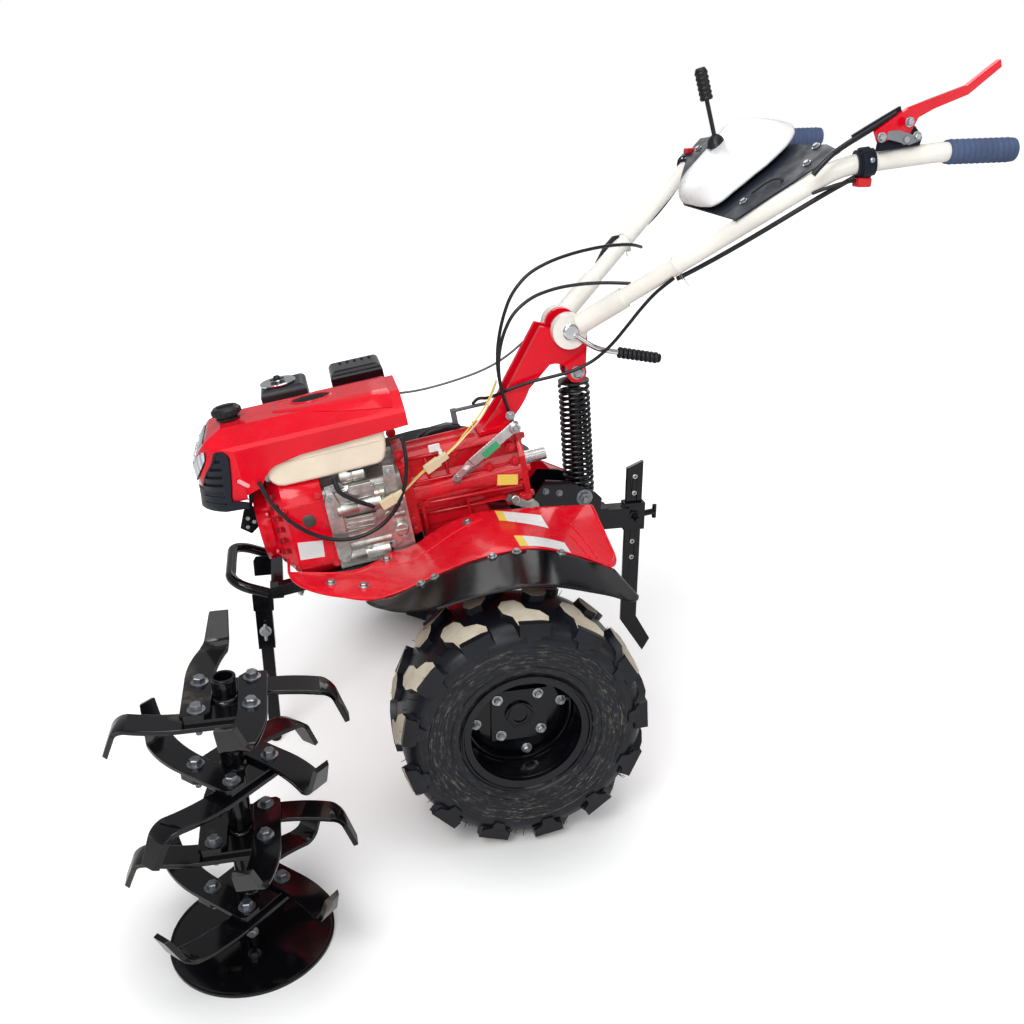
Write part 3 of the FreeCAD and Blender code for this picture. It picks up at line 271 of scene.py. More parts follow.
def worn_paint(name, colour, worn, low, high, patch=5.0):
    """Gloss black with patches rubbed and caked with dry earth."""
    m, t, b = base_material(name, colour, 0.2, coat=0.2, specular=0.25)
    patches = ramp_of(t, noise_of(t, patch, 3.0, 0.6, 0.4), [(low, grey(0)), (high, grey(1))])
    crumbs = ramp_of(t, noise_of(t, 55.0, 10.0, 0.72), [(0.38, grey(0.1)), (0.62, grey(0.95))])
    mask = math_of(t, "MULTIPLY", patches, crumbs)
    earth = ramp_of(t, noise_of(t, 70.0, 8.0, 0.7),
                    [(0.3, shade(worn, 0.45)), (0.7, shade(worn, 1.25))])
    t.links.new(blend_of(t, mask, colour, earth), b.inputs["Base Color"])
    drive(t, b, "Roughness", mask, [(0.0, grey(0.14)), (0.7, grey(0.75))])
    drive(t, b, "Coat Weight", mask, [(0.0, grey(0.2)), (0.6, grey(0.0))])
    bump_of(t, math_of(t, "ADD", mask, math_of(t, "MULTIPLY", noise_of(t, 300.0, 4.0), 0.15)), 0.25,
            0.0009, b)
    return m


def metal(name, colour, rough, scale=60.0, strength=0.15, contrast=0.7):
    """Bare or plated metal with blotches and fine scratches."""
    m, t, b = base_material(name, colour, rough, metallic=1.0)
    blotch = noise_of(t, scale, 8.0, 0.6)
    drive(t, b, "Base Color", blotch, [(0.25, shade(colour, contrast)), (0.75, colour)])
    drive(t, b, "Roughness", blotch, [(0.2, grey(rough * 1.5)), (0.8, grey(rough * 0.7))])
    bump_of(t, noise_of(t, scale * 8, 4.0), strength, 0.0006, b)
    return m


def plastic(name, colour, rough, grain=420.0, strength=0.2, contrast=0.8, specular=0.3):
    """Moulded plastic or rubber with a fine grain."""
    m, t, b = base_material(name, colour, rough, specular=specular)
    drive(t, b, "Base Color", noise_of(t, 14.0, 6.0),
          [(0.3, shade(colour, contrast)), (0.7, shade(colour, 1.15))])
    drive(t, b, "Roughness", noise_of(t, 60.0, 6.0),
          [(0.3, grey(rough * 0.8)), (0.75, grey(min(1, rough * 1.3)))])
    bump_of(t, noise_of(t, grain, 3.0), strength, 0.0004, b)
    return m


def tyre_rubber(name):
    """Black rubber with a faint blue tint that paints in a sheen, and dry mud rubbed into rings
    round the rim.
    """
    m, t, b = base_material(name, (0.005, 0.005, 0.008), 0.4, specular=0.3)
    offset = node_of(t, "VectorMath", {0: place_of(t), 1: (AXLE_X, 0, AXLE_HEIGHT / 1000)},
                     operation="SUBTRACT")
    parts = node_of(t, "SeparateXYZ", {0: offset.outputs[0]}).outputs
    flat = node_of(t, "CombineXYZ", {"X": parts["X"], "Z": parts["Z"]})
    span = node_of(t, "VectorMath", {0: flat.outputs[0]}, operation="LENGTH")
    reach = span.outputs["Value"]
    angle = math_of(t, "ARCTAN2", parts["Z"], parts["X"])
    swirl = node_of(t, "CombineXYZ", {"X": math_of(t, "MULTIPLY", angle, 3.0),
                                      "Y": math_of(t, "MULTIPLY", reach, 100.0)})
    streaks = node_of(t, "TexNoise", {"Scale": 2.2, "Detail": 9.0, "Roughness": 0.72,
                                      "Vector": swirl.outputs[0]})
    rings = ramp_of(t, math_of(t, "MULTIPLY", reach, 4.0), [
        (0.5, grey(0.3)), (0.6, grey(0.5)), (0.64, grey(1.0)), (0.665, grey(0.35)),
        (0.7, grey(0.9)), (0.74, grey(0.12)), (0.86, grey(0.0))])
    clumps = ramp_of(t, noise_of(t, 11.0, 3.0), [(0.4, grey(0.25)), (0.62, grey(1.0))])
    flecks = ramp_of(t, streaks.outputs["Fac"], [(0.52, grey(0)), (0.6, grey(1))])
    mask = math_of(t, "MULTIPLY", math_of(t, "MULTIPLY", rings, clumps), flecks)
    # The faint blue in the rubber's tone is a painted sheen.
    rubber = ramp_of(t, noise_of(t, 16.0, 6.0),
                     [(0.3, (0.003, 0.003, 0.004)), (0.7, (0.008, 0.009, 0.015))])
    mud = ramp_of(t, noise_of(t, 90.0, 6.0),
                  [(0.3, (0.05, 0.045, 0.035)), (0.7, (0.3, 0.28, 0.23))])
    t.links.new(blend_of(t, mask, rubber, mud), b.inputs["Base Color"])
    drive(t, b, "Roughness", mask, [(0.0, grey(0.34)), (0.6, grey(0.9))])
    height = math_of(t, "ADD", mask, math_of(t, "MULTIPLY", noise_of(t, 260.0, 4.0), 0.3))
    bump_of(t, height, 0.3, 0.0012, b)
    return m


def dry_mud(name):
    """Pale dust pressed on the tops of the lugs, chipped to rubber at places."""
    m, t, b = base_material(name, (0.5, 0.44, 0.34), 0.85)
    dust = ramp_of(t, noise_of(t, 26.0, 8.0, 0.6),
                   [(0.3, (0.42, 0.35, 0.25)), (0.7, (0.58, 0.53, 0.43))])
    chips = ramp_of(t, noise_of(t, 17.0, 6.0, 0.65, 0.5), [(0.63, grey(0)), (0.68, grey(0.9))])
    t.links.new(blend_of(t, chips, dust, (0.05, 0.038, 0.022)), b.inputs["Base Color"])
    drive(t, b, "Roughness", noise_of(t, 80.0, 4.0), [(0.3, grey(0.7)), (0.7, grey(0.95))])
    bump_of(t, noise_of(t, 220.0, 8.0, 0.7), 0.35, 0.0008, b)
    return m


def lamp_lens(name):
    """A clear lens over a bright reflector, with upright flutes."""
    m, t, b = base_material(name, (0.72, 0.76, 0.8), 0.1, metallic=0.55, coat=1.0)
    wave = node_of(t, "TexWave", {"Scale": 26.0, "Distortion": 0.3, "Vector": place_of(t)},
                   bands_direction="Y")
    cloud = math_of(t, "MULTIPLY", noise_of(t, 20.0, 3.0), wave.outputs["Fac"])
    drive(t, b, "Base Color", cloud, [(0.1, (0.42, 0.46, 0.52)), (0.5, (0.86, 0.89, 0.92))])
    drive(t, b, "Roughness", cloud, [(0.1, grey(0.06)), (0.6, grey(0.18))])
    bump_of(t, wave.outputs["Fac"], 0.3, 0.002, b)
    return m


RED = paint("red_enamel", (0.76, 0.002, 0.016), 0.2, 0.25, dust=0.06, specular=0.16)
# Dark red painted shade for the fan cover's vents and slots.
SHADOWED_RED = paint("red_shadowed", (0.26, 0.002, 0.008), 0.4, 0.0, dust=0.0)
RED_CAST = casting_paint("red_casting", (0.62, 0.006, 0.014), 0.24, 0.35)
FLARE_BLACK = plastic("flare_black", (0.003, 0.003, 0.004), 0.12, specular=0.12)
BLACK = paint("black_enamel", (0.003, 0.003, 0.005), 0.13, 0.15, dust=0.015, specular=0.25)
TINE = worn_paint("tine_black", (0.003, 0.003, 0.004), (0.13, 0.11, 0.08), 0.6, 0.72)
HUB_BLACK = worn_paint("hub_black", (0.003, 0.003, 0.004), (0.09, 0.075, 0.05), 0.66, 0.78, 9.0)
CREAM = paint("cream_enamel", (0.88, 0.8, 0.63), 0.25, 0.3, dust=0.03)
BAR_CREAM = paint("bar_enamel", (0.88, 0.86, 0.79), 0.25, 0.3, dust=0.03)
DARK_GREY = paint("slate_paint", (0.01, 0.013, 0.024), 0.4, 0.0, dust=0.02, specular=0.15)
WHITE = plastic("white_plastic", (0.8, 0.8, 0.79), 0.3, 300.0, 0.08, 0.96)
WHITE_TIE = plastic("white_nylon", (0.78, 0.78, 0.75), 0.4, 400.0, 0.1, 0.9)
ZINC = metal("zinc_bolt", (0.56, 0.58, 0.6), 0.34, 120.0, 0.3, 0.5)
DULL_ZINC = metal("dull_zinc", (0.34, 0.36, 0.39), 0.38, 140.0, 0.35, 0.4)
STEEL = metal("steel", (0.66, 0.66, 0.65), 0.26, 70.0, 0.12, 0.75)
CHROME = metal("chrome", (0.8, 0.81, 0.83), 0.12, 40.0, 0.05, 0.85)
ALLOY = metal("cast_alloy", (0.68, 0.67, 0.63), 0.36, 45.0, 0.4, 0.42)
GREY_STEEL = plastic("grey_primer", (0.13, 0.14, 0.16), 0.5, 300.0, 0.25)
BLACK_PLASTIC = plastic("black_plastic", (0.012, 0.013, 0.016), 0.34)
NAVY_PLASTIC = plastic("navy_plastic", (0.006, 0.009, 0.017), 0.32, specular=0.25)
GREY_PLASTIC = plastic("grey_plastic", (0.2, 0.21, 0.23), 0.42)
RED_PLASTIC = plastic("red_plastic", (0.62, 0.02, 0.02), 0.3)
YELLOW_PLASTIC = plastic("yellow_plastic", (0.75, 0.55, 0.06), 0.35)
CABLE = plastic("cable_sheath", (0.012, 0.012, 0.016), 0.3, 200.0, 0.1)
GREY_CABLE = plastic("grey_sheath", (0.13, 0.135, 0.15), 0.36, 200.0, 0.1)
FOAM = plastic("foam_grip", (0.07, 0.1, 0.19), 0.85, 700.0, 0.7)
# Near-black painted shade for hollows: behind the grille, in the hood's recess and in the gap round
# the lamp lens.
HOLLOW_SHADE = plastic("painted_hollow_shade", (0.004, 0.004, 0.005), 0.8)
LABEL_WHITE = plastic("blank_label", (0.74, 0.75, 0.74), 0.32, 200.0, 0.04, 0.95)
LABEL_YELLOW = plastic("yellow_label", (0.8, 0.6, 0.1), 0.34, 200.0, 0.04, 0.92)
LENS = lamp_lens("lamp_lens")
RUBBER = tyre_rubber("tyre_rubber")
LUG_DUST = dry_mud("lug_dust")

LOOKS = {
    RED: ["hood", "fan_cover", "fender_left", "fender_right", "handle_bracket", "clutch_lever"],
    RED_CAST: ["gearbox_upper", "gearbox_lower"],
    FLARE_BLACK: ["flare_left", "flare_right"],
    BLACK: ["muffler_guard", "engine_bed", "stand_sleeve", "front_bumper",
            "fender_struts", "coil_spring", "shock_absorber", "rear_hitch", "stand_leg",
            "depth_bar", "rim_left", "rim_right", "hub_left", "hub_right"],
    HUB_BLACK: ["rotor_hub", "rotor_disc"],
    TINE: ["tines_1", "tines_2", "tines_3", "tines_4"],
    CREAM: ["fuel_tank"],
    BAR_CREAM: ["handlebar_left", "handlebar_right"],
    DARK_GREY: ["panel_bracket", "clutch_bracket"],
    WHITE: ["control_panel"],
    STEEL: ["pto_shaft", "half_shaft_left", "half_shaft_right"],
    CHROME: ["clamp_lever"],
    GREY_STEEL: ["shift_linkage"],
    ALLOY: ["crankcase", "cylinder_head"],
    BLACK_PLASTIC: ["fuel_cap", "air_cleaner", "shift_lever", "switches"],
    NAVY_PLASTIC: ["grille"],
    CABLE: ["shift_cables", "cable_under_bar", "engine_lead", "bar_harness"],
    GREY_CABLE: ["throttle_cable"],
    FOAM: ["grips"],
    LENS: ["headlight"],
    RUBBER: ["tyre_left", "tyre_right"],
}
for material, names in LOOKS.items():
    for name in names:
        node = NODES[name]
        if not node.material_slots:
            node.data.materials.append(material)
        for slot in node.material_slots:
            slot.material = material


# --- How pieces are made -------------------------------------------------------------------------

def weld_points(item):
    """Join the points that a frame mesh has twice."""
    item.modifiers.new("weld", "WELD").merge_threshold = WELD_REACH


def round_edges(item, width, segments, angle, harden=True):
    """Bevel every edge sharper than an angle, by a width in millimetres."""
    edges = item.modifiers.new("edges", "BEVEL")
    edges.width = width / 1000
    edges.segments = segments
    edges.limit_method = "ANGLE"
    edges.angle_limit = math.radians(angle)
    edges.harden_normals = harden


def soften(names, width, angle=28):
    """Round the edges of frame nodes with modifiers, so that they catch the light."""
    for name in names:
        weld_points(NODES[name])
        round_edges(NODES[name], width, 2, angle)


def basis(along):
    """Two directions square to a direction and to each other."""
    along = Vector(along).normalized()
    first = along.cross(Vector((0, 0, 1)) if abs(along.z) < 0.9 else Vector((1, 0, 0))).normalized()
    return along, first, along.cross(first)


def lathe(bm, profile, place=(0, 0, 0), axis=(0, 1, 0), sides=32, turn=0.0):
    """Turn a profile of (radius, distance along) about an axis."""
    along, first, second = basis(axis)
    rows = []
    for radius, distance in profile:
        centre = Vector(place) + along * distance
        if radius < 0.001:
            rows.append([bm.verts.new(centre)])
            continue
        angles = [math.tau * i / sides + math.radians(turn) for i in range(sides)]
        rows.append([bm.verts.new(centre + (first * math.cos(a) + second * math.sin(a)) * radius)
                     for a in angles])
    for low, high in zip(rows, rows[1:]):
        for i in range(sides):
            j = (i + 1) % sides
            corners = [low[i % len(low)], low[j % len(low)], high[j % len(high)],
                       high[i % len(high)]]
            kept = list(dict.fromkeys(corners))
            if len(kept) > 2:
                bm.faces.new(kept)


def rod(bm, start, end, radius, sides=20, chamfer=0.6):
    """A round bar with chamfered ends."""
    start, end = Vector(start), Vector(end)
    length = (end - start).length
    chamfer = min(chamfer, length / 3, radius / 2)
    lathe(bm, [(0, 0), (radius - chamfer, 0), (radius, chamfer), (radius, length - chamfer),
               (radius - chamfer, length), (0, length)], start, end - start, sides)


def slab(bm, outline, low, high, plane="XY"):
    """An outline carried from one level to another, square to its plane."""
    order = {"XY": (0, 1, 2), "XZ": (0, 2, 1), "YZ": (1, 2, 0)}[plane]
    loops = []
    for level in (low, high):
        ring = []
        for u, v in outline:
            point = [0, 0, 0]
            for index, value in zip(order, (u, v, level)):
                point[index] = value
            ring.append(bm.verts.new(point))
        loops.append(ring)
    bm.faces.new(loops[0])
    bm.faces.new(loops[1])
    for i in range(len(outline)):
        j = (i + 1) % len(outline)
        bm.faces.new((loops[0][i], loops[0][j], loops[1][j], loops[1][i]))


def brick(bm, low, high):
    """A block between two corners."""
    slab(bm, [(low[0], low[1]), (high[0], low[1]), (high[0], high[1]), (low[0], high[1])], low[2],
         high[2])


def bolt(bm, place, axis, across=13.0, height=6.0, washer=True, turn=0.0, stud=0.0):
    """A hexagon head on a washer, and the thread past it where there is any."""
    lift = 0.0
    if washer:
        lift = 1.8
        lathe(bm, [(0, -0.5), (across * 0.82, -0.5), (across * 0.82, lift - 0.3),
                   (across * 0.78, lift), (0, lift)],
              place, axis, 24)
    corner = across / math.sqrt(3)
    lathe(bm, [(corner, lift), (corner, lift + height * 0.82), (corner * 0.84, lift + height),
               (0, lift + height)],
          place, axis, 6, turn)
    if stud:
        radius = across * 0.3
        steps = max(1, int(stud / 1.5))
        base = lift + height
        thread = [(radius - 0.5 * (i % 2), base + stud * i / steps) for i in range(steps + 1)]
        lathe(bm, thread + [(0, base + stud)], place, axis, 14)


def screw(bm, place, axis, radius=5.0, height=2.4):
    """A low round head with a recess."""
    lathe(bm, [(radius, -0.4), (radius, height * 0.4), (radius * 0.7, height * 0.9),
               (radius * 0.4, height), (radius * 0.35, height * 0.3), (0, height * 0.3)],
          place, axis, 20)


def piece(name, bm, local, body, *materials, bevel=0.0, segments=2, sharp=35, subdivide=0):
    """Make a named piece of a mesh drawn in millimetres, and let it ride on a body."""
    bm.transform(local)
    bmesh.ops.recalc_face_normals(bm, faces=bm.faces)
    mesh = bpy.data.meshes.new(name)
    bm.to_mesh(mesh)
    bm.free()
    for polygon in mesh.polygons:
        polygon.use_smooth = True
    mesh.set_sharp_from_angle(angle=math.radians(sharp))
    for material in materials:
        mesh.materials.append(material)
    item = bpy.data.objects.new(name, mesh)
    scene.collection.objects.link(item)
    if bevel:
        round_edges(item, bevel, segments, sharp)
    if subdivide:
        smooth = item.modifiers.new("smooth", "SUBSURF")
        smooth.levels = subdivide
        smooth.render_levels = subdivide
    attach(item, body)
    return item


def extrusion(name, outline, low, high, plane, frame, body, material, **look):
    """A piece that is one outline carried from one level to another."""
    bm = bmesh.new()
    slab(bm, outline, low, high, plane)
    return piece(name, bm, frame, body, material, **look)


def turning(name, profile, place, axis, sides, frame, body, material, **look):
    """A piece that is one turned profile."""
    bm = bmesh.new()
    lathe(bm, profile, place, axis, sides)
    return piece(name, bm, frame, body, material, **look)


def tube(name, points, radius, local, body, material, closed=False, order=3):
    """A round tube along a smooth line through control points in millimetres."""
    curve = bpy.data.curves.new(name, "CURVE")
    curve.dimensions = "3D"
    curve.bevel_depth = radius / 1000
    curve.bevel_resolution = 4
    curve.use_fill_caps = True
    curve.resolution_u = 6
    line = curve.splines.new("NURBS")
    line.points.add(len(points) - 1)
    for knot, point in zip(line.points, points):
        knot.co = (*(local @ Vector(point)), 1)
    line.use_cyclic_u = closed
    line.order_u = order
    line.use_endpoint_u = not closed
    curve.materials.append(material)
    item = bpy.data.objects.new(name, curve)
    scene.collection.objects.link(item)
    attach(item, body)
    return item


def touch(node, start, direction):
    """Where a ray first meets a frame node, and the surface's direction there."""
    found, place, normal, _ = NODES[node].ray_cast(Vector(start), Vector(direction).normalized())
    return (place, normal) if found else (None, None)


def patch(name, node, corners, direction, body, material, lift=0.5, steps=8):
    """A thin sheet laid on a frame node, inside four corners given in metres."""
    a, b, c, d = [Vector(corner) for corner in corners]
    bm = bmesh.new()
    rows = []
    for i in range(steps + 1):
        row = []
        for j in range(steps + 1):
            u, v = i / steps, j / steps
            start = (a * (1 - u) + b * u) * (1 - v) + (d * (1 - u) + c * u) * v
            place, normal = touch(node, start, direction)
            if place is None:
                row.append(None)
                continue
            normal = -normal if normal.dot(Vector(direction)) > 0 else normal
            row.append(bm.verts.new((place + normal * lift / 1000) * 1000))
        rows.append(row)
    for low, high in zip(rows, rows[1:]):
        for j in range(steps):
            corners_here = (low[j], low[j + 1], high[j + 1], high[j])
            if all(corners_here):
                bm.faces.new(corners_here)
    return piece(name, bm, Matrix.Scale(0.001, 4), body, material)


# --- Tyres and wheels ----------------------------------------------------------------------------

CARCASS = [(106, -71), (114, -75), (121, -75.5), (124, -79), (132, -82), (150, -85), (172, -86.4),
           (192, -85), (207, -79), (217, -66), (221, -44), (222.5, -20), (222.5, 20), (221, 44),
           (217, 66), (207, 79), (192, 85), (172, 86.4), (150, 85), (132, 82), (124, 79),
           (121, 75.5), (114, 75), (106, 71)]
LUG = [(-39, 84), (-40, 66), (-27, 50), (-4, 40), (0, 22), (10, 7), (32, 5), (42, 22), (38, 46),
       (24, 62), (16, 84)]
LUGS = 13
LUG_MIDDLE = 46


def crown(across):
    """How far from the axle the lugs' tops stand at a distance from the tyre's middle."""
    return 234.6 - 2.6 * (abs(across) / 60) ** 2 - 11 * max(0, (abs(across) - 58) / 28) ** 2


def around(radius, arc, across):
    """A point of the wheel frame at a radius and an angle."""
    return Vector((radius * math.sin(arc), across, radius * math.cos(arc)))


def add_lug(bm, arc, side):
    """One lug: a dusty top, tapered flanks, and a stepped foot on the shoulder."""
    top_ring, foot_ring = [], []
    for s, across in LUG:
        top_ring.append(bm.verts.new(around(crown(across), arc + s / AXLE_HEIGHT, side * across)))
        wide_s, wide_y = s * 1.1, across + (across - LUG_MIDDLE) * 0.08
        foot_ring.append(bm.verts.new(around(crown(across) - 19, arc + wide_s / 222,
                                             side * min(wide_y, 84))))
    hub_vert = bm.verts.new(around(crown(LUG_MIDDLE) + 0.2, arc, side * LUG_MIDDLE))
    for i in range(len(LUG)):
        j = (i + 1) % len(LUG)
        bm.faces.new((top_ring[i], top_ring[j], hub_vert)).material_index = 1
        bm.faces.new((top_ring[i], foot_ring[i], foot_ring[j], top_ring[j]))
    foot = [(-39, 226), (16, 226), (17, 208), (6, 200), (2, 188), (-20, 186), (-24, 200),
            (-38, 206)]
    inner, outer = [], []
    for s, radius in foot:
        inner.append(bm.verts.new(around(radius, arc + s / 222, side * 70)))
        out = 84 if radius > 220 else 88.2
        outer.append(bm.verts.new(around(radius, arc + s / 222, side * out)))
    bm.faces.new(outer)
    for i in range(len(foot)):
        j = (i + 1) % len(foot)
        bm.faces.new((inner[i], inner[j], outer[j], outer[i]))


def make_tyre(side):
    """A carcass with two staggered rows of lugs, rings on its walls and mould whiskers."""
    bm = bmesh.new()
    lathe(bm, CARCASS + CARCASS[:1], sides=120)
    for wall in (-1, 1):
        lathe(bm, [(136, wall * 82), (137, wall * 84.4), (139, wall * 84.6), (140, wall * 83)],
              sides=96)
        lathe(bm, [(176, wall * 86), (177, wall * 87.2), (179, wall * 87.2), (180, wall * 86)],
              sides=96)
    for number in range(LUGS):
        for wall, shift in ((1, 0.0), (-1, 0.5)):
            add_lug(bm, math.tau * (number + shift) / LUGS, wall)
    chance = random.Random(7 if side == "left" else 8)
    for number in range(110):
        arc = chance.uniform(0, math.tau)
        across = chance.choice((-1, 1)) * chance.uniform(40, 84)
        low = crown(across) - 18
        lean = chance.uniform(-0.02, 0.02)
        start = around(low, arc, across)
        end = around(min(low + chance.uniform(12, 19), 234), arc + lean,
                     across + math.copysign(3, across))
        lathe(bm, [(0.9, 0), (0.5, (end - start).length), (0, (end - start).length)], start,
              end - start, 5)
    tyre = piece(f"tyre_tread_{side}", bm, WHEELS[side], f"{side}_wheel", RUBBER, LUG_DUST,
                 sharp=42)
    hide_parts(f"tyre_{side}")


def wheel_trim(side):
    """Rim beads, hub bolts on both faces, the hub's cap and pin, and the tyre valve."""
    body = f"{side}_wheel"
    bm = bmesh.new()
    lathe(bm, [(119, 78.8), (118.6, 80.6), (116, 81), (114, 78)], sides=72)
    lathe(bm, [(96, 5.5), (97, 8.5), (99.5, 9), (101, 5)], sides=72)
    lathe(bm, [(101, 60), (99.6, 62), (99.6, 64), (101, 66)], sides=72)
    piece(f"rim_beads_{side}", bm, WHEELS[side], body, BLACK, sharp=50)
    bm = bmesh.new()
    for number in range(4):
        arc = math.radians(-11.5 + 90 * number)
        place = (82 * math.cos(arc), 4, 82 * math.sin(arc))
        bolt(bm, place, (0, 1, 0), 12.5, 7, turn=11 * number, stud=3)
        arc = math.radians(40 + 90 * number)
        bolt(bm, (54 * math.cos(arc), 12, 54 * math.sin(arc)), (0, 1, 0), 12.5, 7, turn=17 * number,
             stud=2)
        bolt(bm, (54 * math.cos(arc), -2, 54 * math.sin(arc)), (0, -1, 0), 15, 8, stud=6)
    piece(f"wheel_bolts_{side}", bm, WHEELS[side], body, ZINC, sharp=30)
    bm = bmesh.new()
    lathe(bm, [(27, 17.6), (25, 19), (21, 19), (21, 15), (0, 15)], sides=6, turn=10)
    rod(bm, (-34, -110, 0), (34, -110, 0), 5)
    lathe(bm, [(31, -4), (31, -9), (27.6, -13)], sides=40)
    piece(f"hub_trim_{side}", bm, WHEELS[side], body, BLACK, sharp=30)
    turning(f"valve_{side}", [(3, -10), (4.6, -8), (4.6, 12), (3.6, 14), (2.6, 18), (0, 18)],
            (-92, 8, 30), (0.25, 1, 0), 16, WHEELS[side], body, BLACK_PLASTIC, sharp=40)


for side in WHEELS:
    make_tyre(side)
    wheel_trim(side)


# --- Tine rotor ----------------------------------------------------------------------------------

TOP_STAR, STAR_PITCH = 453, 119.3
bolts = bmesh.new()
welds = bmesh.new()
for number in range(4):
    height = TOP_STAR - number * STAR_PITCH
    for corner in range(4):
        arc = math.radians(45 + 90 * corner + 45 * (number % 2))
        reach = 39 * math.sqrt(2)
        x, y = reach * math.cos(arc), reach * math.sin(arc)
        bolt(bolts, (x, y, height + 12), (0, 0, 1), 16.5, 9, turn=23 * corner + 9 * number)
        bolt(bolts, (x, y, height - 12), (0, 0, -1), 16.5, 9, washer=False, turn=31 * corner,
             stud=8)
    for up in (1, -1):
        bead = [(18, 0), (23.4, 0), (22.6, 2.4), (20.2, 4.6), (18, 5.4)]
        lathe(welds, bead, (0, 0, height + 4 * up), (0, 0, up), 40)
piece("rotor_bolts", bolts, ROTOR, "rotor", DULL_ZINC, sharp=30)
piece("rotor_welds", welds, ROTOR, "rotor", HUB_BLACK, sharp=60)
lip = bmesh.new()
lathe(lip, [(18.2, 488), (18.4, 493), (17.6, 493.9), (14.6, 493.9), (14.2, 492), (14.2, 470)],
      (0, 0, 0), (0, 0, 1), 48)
lathe(lip, [(132.6, 5.2), (133, 6.4), (131.5, 7), (129, 6.6), (128, 5.2)], (0, 0, 0), (0, 0, 1), 72)
piece("rotor_rims", lip, ROTOR, "rotor", HUB_BLACK, sharp=50)
pin = bmesh.new()
rod(pin, (0, -30, 40), (0, 30, 40), 5)
bolt(pin, (0, 24, 27), (0, 1, 0), 13, 6)
piece("rotor_pin", pin, ROTOR, "rotor", ZINC, sharp=30)
soften(["tines_1", "tines_2", "tines_3", "tines_4"], 1.2)


# --- Spring and handle bracket -------------------------------------------------------------------

COILS, COIL_RADIUS = 19, 31.4
coil_points = []
for step in range(COILS * 12 + 1):
    turns = step / 12
    lift = 6 + 226 * (turns / COILS)
    if turns < 1:
        lift = 5.2 + 8 * turns
    elif turns > COILS - 1:
        lift = 232.8 - 8 * (COILS - turns)
    angle = math.tau * turns
    coil_points.append((COIL_RADIUS * math.cos(angle), COIL_RADIUS * math.sin(angle), lift))
spring = tube("spring_wire", coil_points, 4.0, SPRING, "chassis", BLACK, order=4)
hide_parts("coil_spring")

ends = bmesh.new()
for side in (1, -1):
    bolt(ends, (0, side * 32, 266), (0, side, 0), 17, 8, stud=3 if side > 0 else 0)
    bolt(ends, (0, side * 36, -24), (0, side, 0), 15, 7)
lathe(ends, [(15, 214), (15, 226), (13.2, 228)], (0, 0, 0), (0, 0, 1), 32)
piece("spring_bolts", ends, SPRING, "chassis", ZINC, sharp=30)


# --- Hood and tank -------------------------------------------------------------------------------

def hood_top(y):
    """How high the hood's roof stands at a distance from its middle."""
    reach = abs(y)
    if reach < 55:
        return 227.0
    if reach < 65:
        return 227.0 - 5 * (reach - 55) / 10
    return 222.0 - 21 * (reach - 65) / 42


def raised_panel(bm, half_widths, lift, rim):
    """A panel that follows the hood's roof, from (x, half width) stations, with sloping edges."""
    rows = []
    count = 14
    for x, half in half_widths:
        row = []
        for i in range(count + 1):
            y = half * (2 * i / count - 1)
            edge = i in (0, count)
            row.append(bm.verts.new((x, y * (1 + rim / half if edge else 1),
                                     hood_top(y) + (-0.4 if edge else lift))))
        rows.append(row)
    front = [bm.verts.new((half_widths[0][0] + rim, v.co.y, v.co.z - lift - 0.4)) for v in rows[0]]
    back = [bm.verts.new((half_widths[-1][0] - rim, v.co.y, v.co.z - lift - 0.4)) for v in rows[-1]]
    rows = [front] + rows + [back]
    for low, high in zip(rows, rows[1:]):
        for i in range(count):
            bm.faces.new((low[i], low[i + 1], high[i + 1], high[i]))


panel = bmesh.new()
raised_panel(panel, [(212, 24), (204, 30), (165, 50), (122, 67), (72, 80), (22, 90), (-16, 98)],
             2.6, 3.0)
piece("hood_panel", panel, ENGINE, "chassis", RED, sharp=50)

OVAL = [(math.cos(math.tau * i / 48), math.sin(math.tau * i / 48)) for i in range(48)]
rim = bmesh.new()
loops = [[rim.verts.new((135 + share * c, -8 + share * 0.62 * s, level)) for c, s in OVAL]
         for share, level in ((44.5, 229.2), (42.5, 231.4), (39, 231.4), (38, 229.6))]
for first, second in zip(loops, loops[1:]):
    for i in range(48):
        j = (i + 1) % 48
        rim.faces.new((first[i], first[j], second[j], second[i]))
piece("hood_recess_rim", rim, ENGINE, "chassis", RED, sharp=60)
# The recess and the five small ovals in it are near-black painted shade.
recess = bmesh.new()
slab(recess, [(135 + 39.5 * c, -8 + 24.8 * s) for c, s in OVAL], 228.8, 230.0)
for number in range(5):
    slab(recess, [(112 + 11 * number + 4 * c, -8 + 9 * s) for c, s in OVAL[::4]], 229.8, 230.8)
piece("hood_recess", recess, ENGINE, "chassis", HOLLOW_SHADE, bevel=0.5)

# The slot's floor is a pale pink sheet of painted light, for the bright light seen through the
# slot.
extrusion("hood_slot", [(305, 137), (300, 138), (285, 123), (286, 118), (291, 118), (306, 132)],
          115.0,
      115.7, "XZ", ENGINE, "chassis", plastic("slot_painted_light", (0.78, 0.4, 0.4), 0.4, 300.0, 0.1, 0.9),
      bevel=0.3)
extrusion("hood_slot_rim", [(308, 139), (302, 141), (283, 125), (283, 116), (291, 115), (309, 131)],
      114.6, 115.25, "XZ", ENGINE, "chassis", RED, bevel=0.3)


# --- Nose: headlamp, grille and lower lip --------------------------------------------------------

